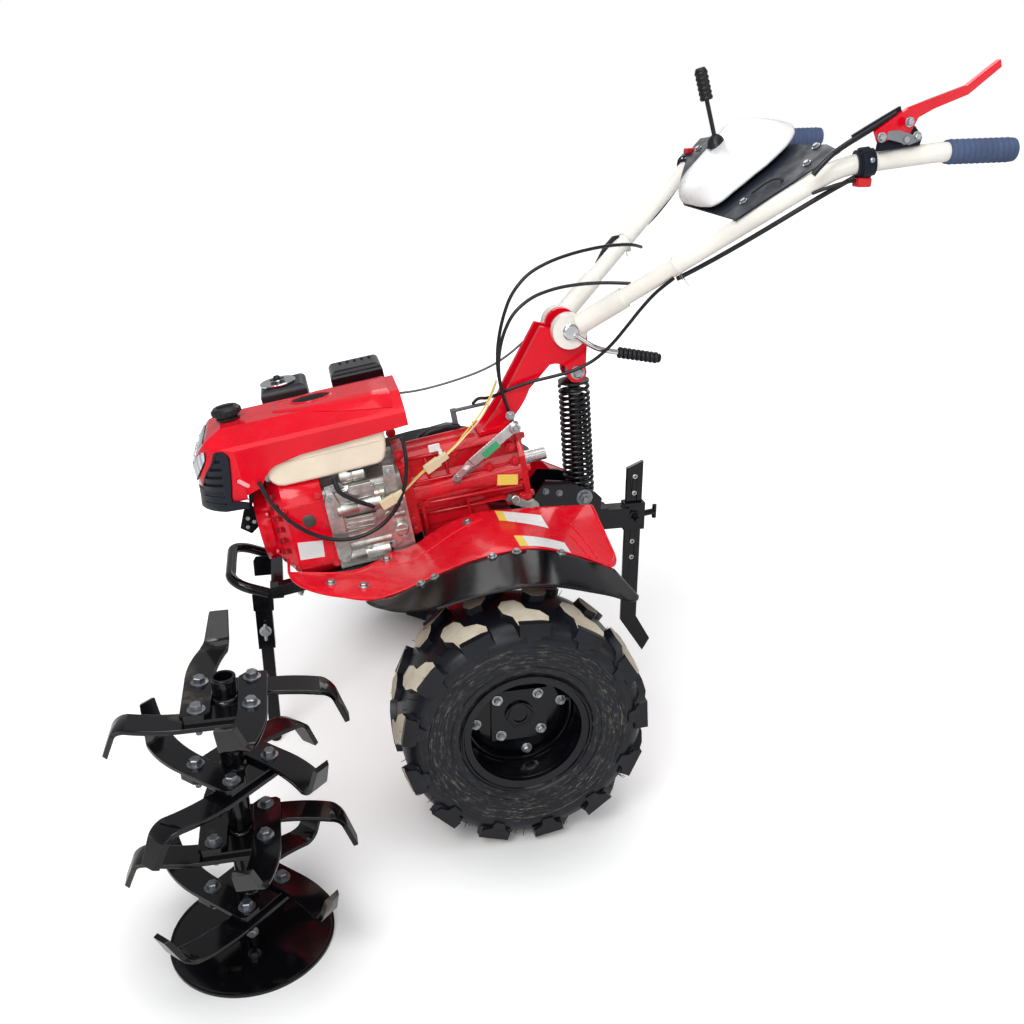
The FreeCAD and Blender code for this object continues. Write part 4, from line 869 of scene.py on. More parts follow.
def nose_x(y, z):
    """How far forward the hood's skin reaches at a place of its nose, in the engine frame."""
    ahead = ENGINE.to_3x3() @ Vector((-1, 0, 0))
    reach = [296.0]
    for level in (max(z - 3, 92), max(z, 92), max(z + 3, 92)):
        for node in ("hood", "headlight", "grille"):
            place, _ = touch(node, ENGINE @ Vector((600, y, level)), ahead)
            if place is not None:
                reach.append((ENGINE.inverted() @ place).x)
    return max(reach)


def lamp_x(y, z):
    """The nose's skin with its creases smoothed away, for the lens that bridges them."""
    spread = [nose_x(y + aside, z + rise) for aside in (-14, 0, 14) for rise in (-10, 0, 10)]
    return sum(spread) / len(spread) + 2.4


def nose_skin(name, rows, out, thick, material, bevel=0.0, skin=nose_x):
    """A closed sheet over the nose from rows of (y, z); out may change from row to row."""
    bm = bmesh.new()
    outs = out if isinstance(out, list) else [out] * len(rows)

    def layer(depth):
        grid = []
        for row, lift in zip(rows, outs):
            line = []
            for y, z in row:
                away = Vector((skin(y, z) - 262, y, 0))
                place = Vector((262, 0, z)) + away + away.normalized() * (lift - depth)
                line.append(bm.verts.new(place))
            grid.append(line)
        return grid

    front, back = layer(0), layer(thick)
    last, wide = len(rows) - 1, len(rows[0]) - 1
    for i in range(last):
        for j in range(wide):
            bm.faces.new((front[i][j], front[i][j + 1], front[i + 1][j + 1], front[i + 1][j]))
            bm.faces.new((back[i][j], back[i + 1][j], back[i + 1][j + 1], back[i][j + 1]))
    for j in range(wide):
        bm.faces.new((front[0][j + 1], front[0][j], back[0][j], back[0][j + 1]))
        bm.faces.new((front[last][j], front[last][j + 1], back[last][j + 1], back[last][j]))
    for i in range(last):
        bm.faces.new((front[i][0], front[i + 1][0], back[i + 1][0], back[i][0]))
        bm.faces.new((front[i + 1][wide], front[i][wide], back[i][wide], back[i + 1][wide]))
    return piece(name, bm, ENGINE, "chassis", material, bevel=bevel, sharp=35)


def between(low, high, count):
    """Evenly spaced numbers from low to high."""
    return [low + (high - low) * i / count for i in range(count + 1)]


def at_level(z, stops):
    """A number read off a list of (level, number) stops, straight between them."""
    for (z0, v0), (z1, v1) in zip(stops, stops[1:]):
        if z >= z1:
            return v0 + (v1 - v0) * (z0 - z) / (z0 - z1)
    return stops[-1][1]


LAMP_EDGE = [(208, 70), (203, 82), (196, 87), (188, 87), (180, 85), (172, 80), (164, 74), (155, 66),
             (147, 58), (139, 48), (132, 36), (126, 18)]
GRILLE_FRONT = [(197, 104), (175, 97), (160, 87), (149, 78), (135, 69), (122, 60), (96, 56)]
GRILLE_REAR = [(197, 109), (190, 111.5), (182, 112.4), (150, 110.5), (120, 108), (104, 106),
               (92, 104.6)]


def grille_front(z):
    """How far from the middle the grille's front edge is at a level."""
    return at_level(z, GRILLE_FRONT)


def grille_rear(z):
    """How far from the middle the grille's rear edge is at a level."""
    return at_level(z, GRILLE_REAR)


def grille_rows(sign, levels, near, far, count):
    """Rows of (y, z), each between two edges that are given as rules from level to distance."""
    return [[(sign * y, z) for y in between(near(z), far(z), count)] for z in levels]


nose_skin("lamp_lens", [[(half * (i / 12 - 1), z) for i in range(25)] for z, half in LAMP_EDGE],
          1.0, 4.0, LENS, skin=lamp_x)
# The lamp seals are thin near-black tubes of painted shade along the lens's edge.
for side, sign in SIDES:
    edge = []
    for (z0, h0), (z1, h1) in zip(LAMP_EDGE, LAMP_EDGE[1:]):
        edge += [(sign * (h0 + (h1 - h0) * k / 3), z0 + (z1 - z0) * k / 3) for k in range(3)]
    edge.append((sign * LAMP_EDGE[-1][1], LAMP_EDGE[-1][0]))
    tube(f"lamp_seal_{side}", [(lamp_x(y, z) + 0.6, y * 1.01, z) for y, z in edge], 1.2,
         ENGINE, "chassis", HOLLOW_SHADE)
for number, (y, z, size) in enumerate(((0, 168, 25), (44, 182, 15), (-44, 182, 15))):
    ring = [(y + size * math.cos(math.tau * k / 20),
             z + size * math.sin(math.tau * k / 20)) for k in range(20)]
    tube(f"lamp_reflector_{number}", [(lamp_x(v, w) + 1.2, v, w) for v, w in ring], 1.3, ENGINE,
         "chassis", CHROME, closed=True)

for side, sign in SIDES:
    # The grille's back is a near-black sheet of painted shade behind the slats.
    nose_skin(f"grille_shade_{side}",
              grille_rows(sign, (197, 190, 182, 172, 160, 149, 135, 122, 108, 98), grille_front,
                          grille_rear, 6), 1.0, 3.0, HOLLOW_SHADE)
    nose_skin(f"grille_cheek_{side}",
              grille_rows(sign, (188, 180, 172, 160, 149, 135, 122, 112), lambda z: 52,
                          lambda z: grille_front(z) + 1, 5), 0.3, 3.0, RED)
    nose_skin(f"grille_side_{side}",
              grille_rows(sign, (188, 172, 150, 130, 110, 92), lambda z: grille_rear(z) - 1,
                          lambda z: 114.9, 4), 0.2, 3.0, RED)
    for number in range(6):
        top = 193 - 16.6 * number
        slat = grille_rows(sign, (top, top - 11.6), lambda z: grille_front(z) + 1.5,
                           lambda z: grille_rear(z) - 6, 6)
        nose_skin(f"grille_slat_{side}_{number}", slat, [4.4, 2.4], 2.6, NAVY_PLASTIC, bevel=0.5)
    nose_skin(f"grille_post_{side}",
              grille_rows(sign, between(196, 92, 10), lambda z: grille_rear(z) - 7, grille_rear, 2),
              4.6, 4.6, NAVY_PLASTIC, bevel=1.0)
    nose_skin(f"grille_brow_{side}",
              grille_rows(sign, (197, 193, 189), lambda z: grille_front(z) - 1, grille_rear, 4),
              4.6, 4.6, NAVY_PLASTIC, bevel=1.0)
    nose_skin(f"grille_fore_{side}",
              grille_rows(sign, between(196, 116, 9), lambda z: grille_front(z) - 2.4,
                          lambda z: grille_front(z) + 1.2, 1), 3.4, 3.4, NAVY_PLASTIC, bevel=0.6)

LIP = [(119, 0.6), (117, 2.6), (108, 3.6), (96, 5.2), (86, 7.0), (79, 8.2), (75.4, 7.6), (74, 5.4)]
lip = nose_skin("nose_lip", [[(106 * (i / 12 - 1), z) for i in range(25)] for z, _ in LIP],
                [out for _, out in LIP], 5.0, NAVY_PLASTIC)
for number, z in enumerate((104, 90)):
    for side, sign in SIDES:
        nose_skin(f"lip_ridge_{side}_{number}", [[(sign * y, level) for y in between(58, 99, 8)]
                  for level in (z + 1.5, z - 1.5)], 5.4 + number * 2.2, 3.0, NAVY_PLASTIC,
                  bevel=0.5)
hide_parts("grille")

grips = bmesh.new()
for number in range(16):
    arc = math.tau * number / 16
    rod(grips, (301 + 27.6 * math.cos(arc), 27.6 * math.sin(arc), 239.6),
        (301 + 27.6 * math.cos(arc), 27.6 * math.sin(arc), 248.6), 2.4, 8)
lathe(grips, [(21, 227.5), (23.5, 229), (23.5, 232), (21, 234)], (301, 0, 0), (0, 0, 1), 40)
slab(grips, [(285, -3), (317, -3), (317, 3), (285, 3)], 253, 257)
piece("cap_grips", grips, ENGINE, "chassis", BLACK_PLASTIC, bevel=0.8)

turning("air_cleaner_disc", [(37.6, 236.5), (38.2, 239.4), (37.0, 241.0), (32, 241.4), (28, 240.6),
                             (9, 241.6), (7.6, 243), (0, 243)], (198, -161, 0), (0, 0, 1), 56,
                             ENGINE, "chassis", CHROME, sharp=40)
knob = bmesh.new()
lathe(knob, [(6.4, 242), (7.6, 245), (7.6, 250), (5, 252.4), (0, 252.4)], (198, -161, 0), (0, 0, 1),
      20)
brick(knob, (183, -164, 243), (213, -158, 246.5))
piece("air_cleaner_knob", knob, ENGINE, "chassis", BLACK_PLASTIC, bevel=0.6)

TANK = [(12, 188), (11, 150), (13, 134), (16, 121), (21, 109), (28, 102), (38, 99), (134, 98),
        (222, 99), (234, 102), (243, 109), (249, 120), (250, 131), (247, 144), (238, 156),
        (200, 188)]
tank = extrusion("tank_shell", TANK, -106.5, 106.5, "XZ", ENGINE, "chassis", CREAM, bevel=7,
                 segments=4,
             sharp=45)
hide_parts("fuel_tank")
for side, sign in SIDES:
    tube(f"tank_seam_{side}", [(16, sign * 104, 147.5), (24, sign * 106.8, 147.6),
                               (60, sign * 106.9, 148), (150, sign * 106.9, 148),
                               (226, sign * 106.8, 147), (240, sign * 104, 145)], 1.6,
         ENGINE, "chassis", CREAM)


# --- Fan cover -----------------------------------------------------------------------------------

PLUG_GREY = plastic("plug_grey", (0.07, 0.07, 0.062), 0.5, 300.0, 0.2)
turning("fan_plug", [(13.5, 117.6), (13.5, 120.4), (11.5, 122), (4, 122.6), (0, 122.2)],
        (194, 0, 22), (0, 1, 0), 36, ENGINE, "chassis", PLUG_GREY, sharp=40)
extrusion("engine_label", [(228, -17), (179, -25), (183, -60), (231, -55)], 119.3, 119.9, "XZ",
          ENGINE,
      "chassis", LABEL_WHITE)
extrusion("fan_side_step", [(160, 60), (229, 56), (229, -8), (234, -14), (232, -70), (162, -72),
                        (158, 20)], 117.6, 119.4, "XZ", ENGINE, "chassis", RED, bevel=1.2,
                        segments=3)
screws = bmesh.new()
for x, z in ((166, 70), (163, -80), (238, 52), (238, -72), (161, 6)):
    bolt(screws, (x, 118, z), (0, 1, 0), 9, 4)
for number in range(6):
    arc = math.radians(30 + 60 * number)
    bolt(screws, (270, 92 * math.cos(arc), 92 * math.sin(arc) * 0.9), (1, 0, 0), 9, 4)
piece("fan_screws", screws, ENGINE, "chassis", RED_CAST, sharp=30)
# Dark red sheets of painted shade fill the side vents and the slots between the front spokes.
slot_shade = bmesh.new()
for number in range(6):
    low = -44 + 24 * number
    for side in (1, -1):
        brick(slot_shade, (244.4, side * 98.3 - 0.3, low + 0.4), (263.6, side * 98.3 + 0.3, low + 11.6))
for number in range(16):
    arc = math.tau * number / 16
    spoke = [(44, -3.4), (72, -4.6), (72, 4.6), (44, 3.4)]
    turned = [(u * math.cos(arc) - v * math.sin(arc), u * math.sin(arc) + v * math.cos(arc))
              for u, v in spoke]
    slab(slot_shade, turned, 295.8, 296.4, "YZ")
piece("fan_slot_shade", slot_shade, ENGINE, "chassis", SHADOWED_RED)
louvres = bmesh.new()
for number in range(6):
    low = -44 + 24 * number
    for side in (1, -1):
        rod(louvres, (254, side * 100, low + 0.6), (254, side * 100, low + 11.4), 1.8, 10)
piece("fan_louvres", louvres, ENGINE, "chassis", RED)
turning("starter_boss", [(40, 295.6), (38, 299), (20, 301), (18, 298.5), (0, 298.5)], (0, 0, 0),
        (1, 0, 0), 48, ENGINE, "chassis", RED, sharp=40)
turning("starter_handle", [(5, 0), (7, 3), (5.4, 10), (5.4, 26), (8, 32), (6, 35), (0, 35)],
        (262, -100, 60), (0.5, -0.7, 0.5), 20, ENGINE, "chassis", BLACK_PLASTIC, sharp=40)
soften(["fan_cover"], 4, 20)


# --- Crankcase and what hangs on it --------------------------------------------------------------

extrusion("case_cover", [(24, 64), (132, 66), (148, 50), (152, 6), (153, -58), (142, -76),
                         (36, -78),
                     (14, -64), (10, 44)], 111.4, 115.4, "XZ", ENGINE, "chassis", ALLOY, bevel=2,
                     segments=3)
lump = bmesh.new()
slab(lump, [(150, 70), (136, 70), (128, 40), (128, -60), (136, -84), (152, -80), (157, -70),
            (157, 50)],
     113, 126, "XZ")
slab(lump, [(60, 74), (104, 74), (108, 60), (96, 52), (62, 54)], 112, 123, "XZ")
slab(lump, [(8, 96), (30, 98), (34, 66), (24, 40), (10, 38)], 112, 120, "XZ")
for level in (4, -6, -16):
    slab(lump, [(70, level), (122, level + 3), (122, level - 2), (70, level - 5)], 114, 119.5, "XZ")
for x, z in ((20, 82), (20, 30), (36, 20), (40, -4), (14, 6)):
    lathe(lump, [(8, 112), (8, 121), (6, 122.4), (0, 122.4)], (x, 0, z), (0, 1, 0), 24)
piece("case_lumps", lump, ENGINE, "chassis", ALLOY, bevel=2.4, segments=3)
barrels = bmesh.new()
for start, end, radius in (((137, 113, 27), (46, 113, 28), 16),
                           ((146, 110, -76), (50, 110, -78), 15), ((60, 118, 46), (36, 118, 46), 8),
                           ((30, 114, 14), (6, 114, 14), 10), ((30, 114, -8), (6, 114, -8), 9),
                           ((118, 96, 88), (66, 96, 88), 15)):
    span = Vector(end) - Vector(start)
    lathe(barrels, [(0, 0), (radius - 2, 0), (radius, 2), (radius, span.length * 0.44),
                    (radius - 1.2, span.length * 0.46), (radius - 1.2, span.length * 0.5),
                    (radius, span.length * 0.52), (radius, span.length - 2),
                    (radius - 2, span.length), (0, span.length)], start, span, 32)
piece("case_barrels", barrels, ENGINE, "chassis", ALLOY, sharp=40)
dark = bmesh.new()
slab(dark, [(44, -66), (138, -64), (138, -82), (46, -84)], 114, 118, "XZ")
slab(dark, [(126, 38), (64, 40), (64, 36), (126, 34)], 114.5, 120, "XZ")
slab(dark, [(124, 11), (60, 9), (60, 6), (124, 8)], 114.5, 118, "XZ")
slab(dark, [(36, 96), (100, 98), (100, 100), (36, 100)], 90, 108, "XZ")
piece("case_shadows", dark, ENGINE, "chassis", BLACK_PLASTIC, bevel=0.8)
casebolts = bmesh.new()
for x, z in ((146, 58), (147, 20), (147, -30), (140, -72), (44, -72), (18, -58), (90, -70),
             (60, 60), (100, 62), (20, 82), (14, 6), (36, 20)):
    bolt(casebolts, (x, 122 if x > 130 or z > 80 or x < 38 else 115, z), (0, 1, 0), 10, 5, turn=x)
piece("case_bolts", casebolts, ENGINE, "chassis", ZINC, sharp=30)
filler = bmesh.new()
lathe(filler, [(13, 118), (14.5, 120), (14.5, 127), (12, 129), (4, 129.4), (0, 129)], (21, 0, -40),
      (0, 1, 0), 28)
brick(filler, (9, 128, -42), (33, 131.5, -38))
piece("oil_filler", filler, ENGINE, "chassis", ALLOY, bevel=0.6)
tube("breather_hose", [(127, 118, 97), (127, 124, 84), (124, 128, 68), (98, 130, 46), (80, 130, 34),
                       (64, 126, 22)],
     4.6, ENGINE, "chassis", CABLE)
throttle = bmesh.new()
slab(throttle, [(150, 82), (118, 84), (112, 74), (134, 66), (152, 70)], 112, 116, "XZ")
rod(throttle, (132, 112, 76), (132, 124, 76), 6)
piece("governor_plate", throttle, ENGINE, "chassis", ZINC, bevel=0.8)


def connector(name, start, end, wide, thick, material):
    """A moulded plug shell between two points of the engine frame."""
    start, end = Vector(start), Vector(end)
    along = (end - start).normalized()
    across = along.cross(Vector((0, 1, 0))).normalized()
    bm = bmesh.new()
    for share_low, share_high, half in ((0.0, 0.62, wide / 2), (0.6, 1.0, wide / 2.7)):
        low = start + (end - start) * share_low
        high = start + (end - start) * share_high
        flat = [low + across * half, high + across * half, high - across * half,
                low - across * half]
        slab(bm, [(p.x, p.z) for p in flat], low.y - thick / 2, low.y + thick / 2, "XZ")
    return piece(name, bm, ENGINE, "chassis", material, bevel=1.6, segments=3)


PALE_PLUG = plastic("pale_plug", (0.72, 0.64, 0.42), 0.4, 300.0, 0.1, 0.9)
connector("plug_engine", (50, 132, 22), (2, 128, 38), 20, 11, PALE_PLUG)
connector("plug_case", (-54, 70, 50), (-104, 68, 72), 20, 11, PALE_PLUG)
for number, material in enumerate((PALE_PLUG, YELLOW_PLASTIC)):
    aside = 3.2 * number
    tube(f"lead_low_{number}", [(4, 128 - aside, 36), (-14, 110 - aside, 40), (-34, 84, 44 + aside),
                                (-56, 70, 51 + aside)],
         1.7, ENGINE, "chassis", material)
    tube(f"lead_high_{number}", [(-102, 68, 70 + aside), (-128, 64 - aside, 84),
                                 (-150, 58 - 2 * aside, 99 + aside),
                                 (-184, 52 - 2 * aside, 120 + 2 * aside),
                                 (-214, 46, 152 + 2 * aside), (-236, 40, 190 + aside)],
         1.7, ENGINE, "chassis", material)
tie = bmesh.new()
brick(tie, (-94, 60, 82), (-70, 64, 98))
brick(tie, (-96, 58, 60), (-88, 66, 84))
piece("case_clip", tie, ENGINE, "chassis", WHITE_TIE, bevel=1.5)


# --- Hood bracket and frame ----------------------------------------------------------------------

bracket = bmesh.new()
slab(bracket, [(297, 90), (285, 88), (298, 60), (288, 44), (298, 34), (288, 22), (299, 12),
               (314, 2), (333, 19), (317, 54), (303, 64)], 58, 62, "XZ")
slab(bracket, [(300, 36), (250, 33), (250, 23), (300, 18)], 40, 60, "XZ")
piece("hood_bracket", bracket, ENGINE, "chassis", BLACK, bevel=1)
holes = bmesh.new()
for x, z in ((313, 36), (303, 26), (318, 18)):
    lathe(holes, [(4, 61.6), (4, 62.4), (0, 62.4)], (x, 0, z), (0, 1, 0), 16)
piece("bracket_holes", holes, ENGINE, "chassis", ZINC)
frame_bolts = bmesh.new()
for x in (20, 250):
    for side in (1, -1):
        bolt(frame_bolts, (x, side * 95, -128), (0, 0, -1), 13, 7, stud=5)
piece("bed_bolts", frame_bolts, ENGINE, "chassis", ZINC, sharp=30)
clamp = bmesh.new()
bolt(clamp, (456, 86.6, 268), (0, 1, 0), 15, 9)
rod(clamp, (456, 94, 250), (456, 94, 288), 3.6)
piece("stand_clamp", clamp, CHASSIS, "chassis", ZINC, sharp=30)
plates = bmesh.new()
for low in (84, -88):
    slab(plates, [(430, 362), (470, 362), (476, 352), (476, 316), (440, 316)], low, low + 4, "XZ")
piece("bumper_plates", plates, CHASSIS, "chassis", BLACK, bevel=1)


# --- Gear case -----------------------------------------------------------------------------------

casebolts = bmesh.new()
for x, y, z in ((-8, 74, 98), (-8, 74, 60), (-8, 74, -46), (-8, 74, -70)):
    for side in (1, -1):
        bolt(casebolts, (x, side * y, z), (0, side, 0), 13, 6, turn=x)
for x, y, z in ((-237, 58, 51), (-239, 66, 24), (-185, 62, 23), (-41, 66, -21), (-244, 66, -60),
                (-120, 50, 66)):
    for side in (1, -1):
        bolt(casebolts, (x, side * y, z), (0, side, 0), 12, 6, turn=2 * x)
for y, z in ((52, 70), (-52, 70), (60, 0), (-60, 0), (50, -62), (-50, -62), (0, 78)):
    bolt(casebolts, (-262, y, z), (-1, 0, 0), 12, 7)
piece("gear_case_bolts", casebolts, ENGINE, "chassis", RED_CAST, sharp=30)
ribs = bmesh.new()
for start, end, radius in (((-14, 58, 25), (-246, 57, 17), 3.2),
                           ((-14, 63, -22), (-246, 62, -34), 4.0),
                           ((-30, 52, -50), (-246, 52, -62), 3.0),
                           ((-24, 48, 74), (-246, 48, 68), 4.0)):
    for side in (1, -1):
        rod(ribs, (start[0], side * start[1], start[2]), (end[0], side * end[1], end[2]), radius,
            16)
for x in (-60, -100):
    for side in (1, -1):
        rod(ribs, (x, side * 46, 74), (x, side * 56, 24), 3, 12)
piece("gear_case_ribs", ribs, ENGINE, "chassis", RED_CAST, sharp=45)
extrusion("case_label", [(-198, 4), (-240, -6), (-236, -28), (-193, -19)], 70.4, 71.0, "XZ", ENGINE,
      "chassis", LABEL_YELLOW)
extrusion("case_label_pad", [(-195, 7), (-243, -4), (-238, -31), (-190, -21)], 62, 70.2, "XZ",
          ENGINE,
      "chassis", RED_CAST, bevel=1.5)
green = bmesh.new()
slab(green, [(-172, 60), (-179, 47), (-214, 66), (-207, 80)], 78.1, 78.6, "XZ")
LABEL_GREEN = plastic("green_label", (0.05, 0.36, 0.16), 0.34, 200.0, 0.04, 0.9)
piece("link_label", green, ENGINE, "chassis", LABEL_GREEN)
links = bmesh.new()
slab(links, [(-144, 53), (-154, 36), (-258, 92), (-249, 112)], 75.1, 78, "XZ")
lathe(links, [(12, 70), (12, 82), (9, 84), (5, 84), (5, 81), (0, 81)], (-250, 0, 97), (0, 1, 0), 28)
slab(links, [(-102, 22), (-112, 12), (-152, 38), (-142, 52)], 75.2, 79, "XZ")
piece("shift_links", links, ENGINE, "chassis", STEEL, bevel=0.8)
extrusion("link_tag", [(-128, 38), (-138, 44), (-145, 40), (-136, 33)], 79, 79.6, "XZ", ENGINE,
      "chassis", LABEL_WHITE)
selector = bmesh.new()
lathe(selector, [(9, 62), (10.5, 64), (10.5, 80), (8.5, 82), (0, 82)], (-224, 0, -57), (0, 1, 0),
      28)
slab(selector, [(-222, -48), (-250, -68), (-262, -66), (-272, -78), (-270, -104), (-258, -100),
                (-254, -88), (-240, -98), (-236, -88), (-246, -84), (-216, -66)], 70, 79, "XZ")
piece("selector_lever", selector, ENGINE, "chassis", ALLOY, bevel=2, segments=3)
pins = bmesh.new()
bolt(pins, (-250, 84, 97), (0, 1, 0), 10, 5)
bolt(pins, (-116, 79, 22), (0, 1, 0), 9, 4)
bolt(pins, (-248, 60, 119), (0, 1, 0), 12, 6)
piece("link_pin", pins, ENGINE, "chassis", ZINC, sharp=30)
extrusion("shift_cover", [(-49, 66), (-64, 84), (-88, 94), (-128, 96), (-156, 88), (-160, 66)], -72,
      -46, "XZ", ENGINE, "chassis", BLACK_PLASTIC, bevel=7, segments=4)
extrusion("far_plate", [(-262, -20), (-296, -24), (-316, -34), (-342, -74), (-325, -112),
                        (-306, -92),
                    (-284, -74), (-262, -70)], -43, -38, "XZ", ENGINE, "chassis", RED, bevel=1)
soften(["gearbox_upper", "handle_bracket"], 2.4, 24)
soften(["hood"], 1.4, 22)
soften(["crankcase", "gearbox_lower", "rear_hitch", "engine_bed"], 1.6, 30)


# --- Fenders -------------------------------------------------------------------------------------

DOWN = Vector((0, 0, -1))
ABOVE_FENDERS = 700


def fender_place(node, x, y):
    """A place on a fender's upper face, in millimetres of the chassis frame, and its normal."""
    place, normal = touch(node, at(x, y, ABOVE_FENDERS), DOWN)
    if place is None:
        return None, None
    return Vector(((place.x - AXLE_X) * 1000, (place.y - MIDDLE_Y) * 1000, place.z * 1000)), normal


def along_fender(name, node, line, radius, material, lift=0.0):
    """A bead that follows a fender's face under a line seen from above."""
    points = []
    for (x0, y0), (x1, y1) in zip(line, line[1:]):
        for step in range(6):
            share = step / 6
            place, _ = fender_place(node, x0 + (x1 - x0) * share, y0 + (y1 - y0) * share)
            if place is not None:
                points.append(place + Vector((0, 0, lift)))
    if len(points) > 3:
        tube(name, points, radius, CHASSIS, "chassis", material)


for side, sign in SIDES:
    studs = bmesh.new()
    for x, y in ((206, 166), (260, 275), (320, 250), (40, 150)):
        place, normal = fender_place(f"fender_{side}", x, sign * y)
        if place is not None:
            bolt(studs, place, normal, 13, 6, turn=x)
    for x in (-104, -19, 27, 135, 160):
        place, normal = fender_place(f"flare_{side}", x, sign * 344)
        if place is not None:
            bolt(studs, place, normal, 11, 5, turn=x)
    piece(f"fender_bolts_{side}", studs, CHASSIS, "chassis", ZINC, sharp=30)
    seam = [(x, sign * 334.6) for x in (226, 160, 95, 40, -30, -90, -150, -196)]
    along_fender(f"fender_bead_{side}", f"fender_{side}", seam, 1.6, RED)
    brim = [(x, sign * 480.4) for x in (150, 95, 40, -30, -90, -150, -186)]
    along_fender(f"flare_bead_{side}", f"flare_{side}", brim, 2.6, BLACK, -1.5)
    # The front bead follows the frame's own fender, so it goes on past what trim_fender cuts away.
    nose = [(396.5, sign * 122), (396.5, sign * 188), (371, sign * 246), (335, sign * 288),
            (301, sign * 308)]
    along_fender(f"fender_front_bead_{side}", f"fender_{side}", nose, 3.0, RED, -1.0)
    tail = [(-231, sign * 118), (-230, sign * 200), (-228, sign * 286), (-216, sign * 312),
            (-201, sign * 333)]
    along_fender(f"fender_rear_bead_{side}", f"fender_{side}", tail, 3.0, RED, -1.0)
    for number, ridge in enumerate((((-160, 173), (-175, 250), (-185, 330)),
                                    ((-149, 240), (-160, 300), (-168, 332)))):
        along_fender(f"fender_ridge_{side}_{number}", f"fender_{side}",
                     [(x, sign * y) for x, y in ridge], 2.0, RED)
    wave = [(236, sign * 200), (150, sign * 205), (60, sign * 170), (0, sign * 150)]
    along_fender(f"fender_wave_{side}", f"fender_{side}", wave, 2.2, RED, -0.8)


def fender_label(name, corners):
    """A blank warning plate's place: a white sheet with a yellow end."""
    (ax, ay), (bx, by), (cx, cy), (dx, dy) = corners
    split = 0.17
    mid_top = (ax + (bx - ax) * split, ay + (by - ay) * split)
    mid_low = (dx + (cx - dx) * split, dy + (cy - dy) * split)
    for part, outline, material in (("pale", (mid_top, (bx, by), (cx, cy), mid_low), LABEL_WHITE),
                                    ("yellow", ((ax, ay), mid_top, mid_low, (dx, dy)),
                                     LABEL_YELLOW)):
        patch(f"{name}_{part}", "fender_left", [at(x, y, ABOVE_FENDERS) for x, y in outline], DOWN,
              "chassis", material)


fender_label("label_inner", ((-23, 118), (-111, 156), (-111, 222), (-21, 176)))
fender_label("label_outer", ((-31, 264), (-126, 286), (-127, 331), (-31, 320)))


INNER_EDGE = [(196, 104), (196, 132), (203, 141), (222, 165), (247, 186), (268, 196), (290, 201),
              (312, 201), (338, 197), (368, 190), (402, 180), (402, 104)]


def trim_fender(side, sign):
    """A copy of the frame's fender with its front lobe cut back beside the engine."""
    source = NODES[f"fender_{side}"]
    cutter_mesh = bmesh.new()
    slab(cutter_mesh, [(x, sign * y) for x, y in INNER_EDGE], 380, 620)
    cutter_data = bpy.data.meshes.new("cutter")
    bmesh.ops.recalc_face_normals(cutter_mesh, faces=cutter_mesh.faces[:])
    cutter_mesh.to_mesh(cutter_data)
    cutter_mesh.free()
    cutter_data.transform(CHASSIS)
    cutter = bpy.data.objects.new("cutter", cutter_data)
    scene.collection.objects.link(cutter)
    shell = bpy.data.objects.new(f"fender_trimmed_{side}", source.data.copy())
    shell.matrix_world = source.matrix_world
    scene.collection.objects.link(shell)
    weld_points(shell)
    cut = shell.modifiers.new("cut", "BOOLEAN")
    cut.operation = "DIFFERENCE"
    cut.solver = "EXACT"
    cut.object = cutter
    bpy.context.view_layer.update()
    depsgraph = bpy.context.evaluated_depsgraph_get()
    finished = bpy.data.meshes.new_from_object(shell.evaluated_get(depsgraph))
    shell.modifiers.clear()
    shell.data = finished
    finished.materials.clear()
    finished.materials.append(RED)
    bpy.data.objects.remove(cutter)
    round_edges(shell, 0.8, 2, 35, harden=False)
    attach(shell, "chassis")
    rim = []
    for x, y in INNER_EDGE[1:-1]:
        place, _ = fender_place(f"fender_{side}", x + (2 if x < 250 else 0), sign * (y + 2.2))
        if place is not None:
            rim.append(place + Vector((0, 0, -1.0)))
    tube(f"fender_inner_bead_{side}", rim, 2.6, CHASSIS, "chassis", RED)
    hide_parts(f"fender_{side}")


for side, sign in SIDES:
    trim_fender(side, sign)


# --- Hitch and depth bar -------------------------------------------------------------------------

hitch = bmesh.new()
bolt(hitch, (-236, 44, 492), (0, 1, 0), 22, 10, stud=5)
bolt(hitch, (-236, -44, 492), (0, -1, 0), 22, 10)
for x, z in ((-180, 506), (-186, 470), (-150, 512)):
    bolt(hitch, (x, 44, z), (0, 1, 0), 9, 5)
    bolt(hitch, (x, -44, z), (0, -1, 0), 9, 5)
piece("hitch_bolts", hitch, CHASSIS, "chassis", DULL_ZINC, sharp=30)
pin = bmesh.new()
rod(pin, (-386, 0, 424), (-416, 0, 428), 7)
rod(pin, (-414, 0, 412), (-414, 0, 444), 5)
rod(pin, (-363, 17, 424), (-363, 42, 424), 6)
bolt(pin, (-363, 16, 424), (0, 1, 0), 17, 8)
brick(pin, (-300, -21, 444), (-276, 21, 452))
piece("depth_clamp", pin, CHASSIS, "chassis", BLACK, bevel=1)
ring = bmesh.new()
for number in range(6):
    z = 516 - 39 * number
    for side in (1, -1):
        lathe(ring, [(3.6, 5.4), (5.2, 5.4), (5.2, 5.9), (3.6, 5.9), (3.6, 5.4)], (-363, 0, z),
              (0, side, 0), 20)
piece("depth_holes", ring, CHASSIS, "depth_gauge", STEEL, sharp=40)


# --- Handlebar -----------------------------------------------------------------------------------

def bar_points(sign):
    """Pivot, bend, grip start and grip end of one bar's middle line."""
    return [Vector((-194, sign * 50, 858)), Vector((-600, sign * 318, 1182)),
            Vector((-766, sign * 350, 1205)), Vector((-906, sign * 350, 1208))]


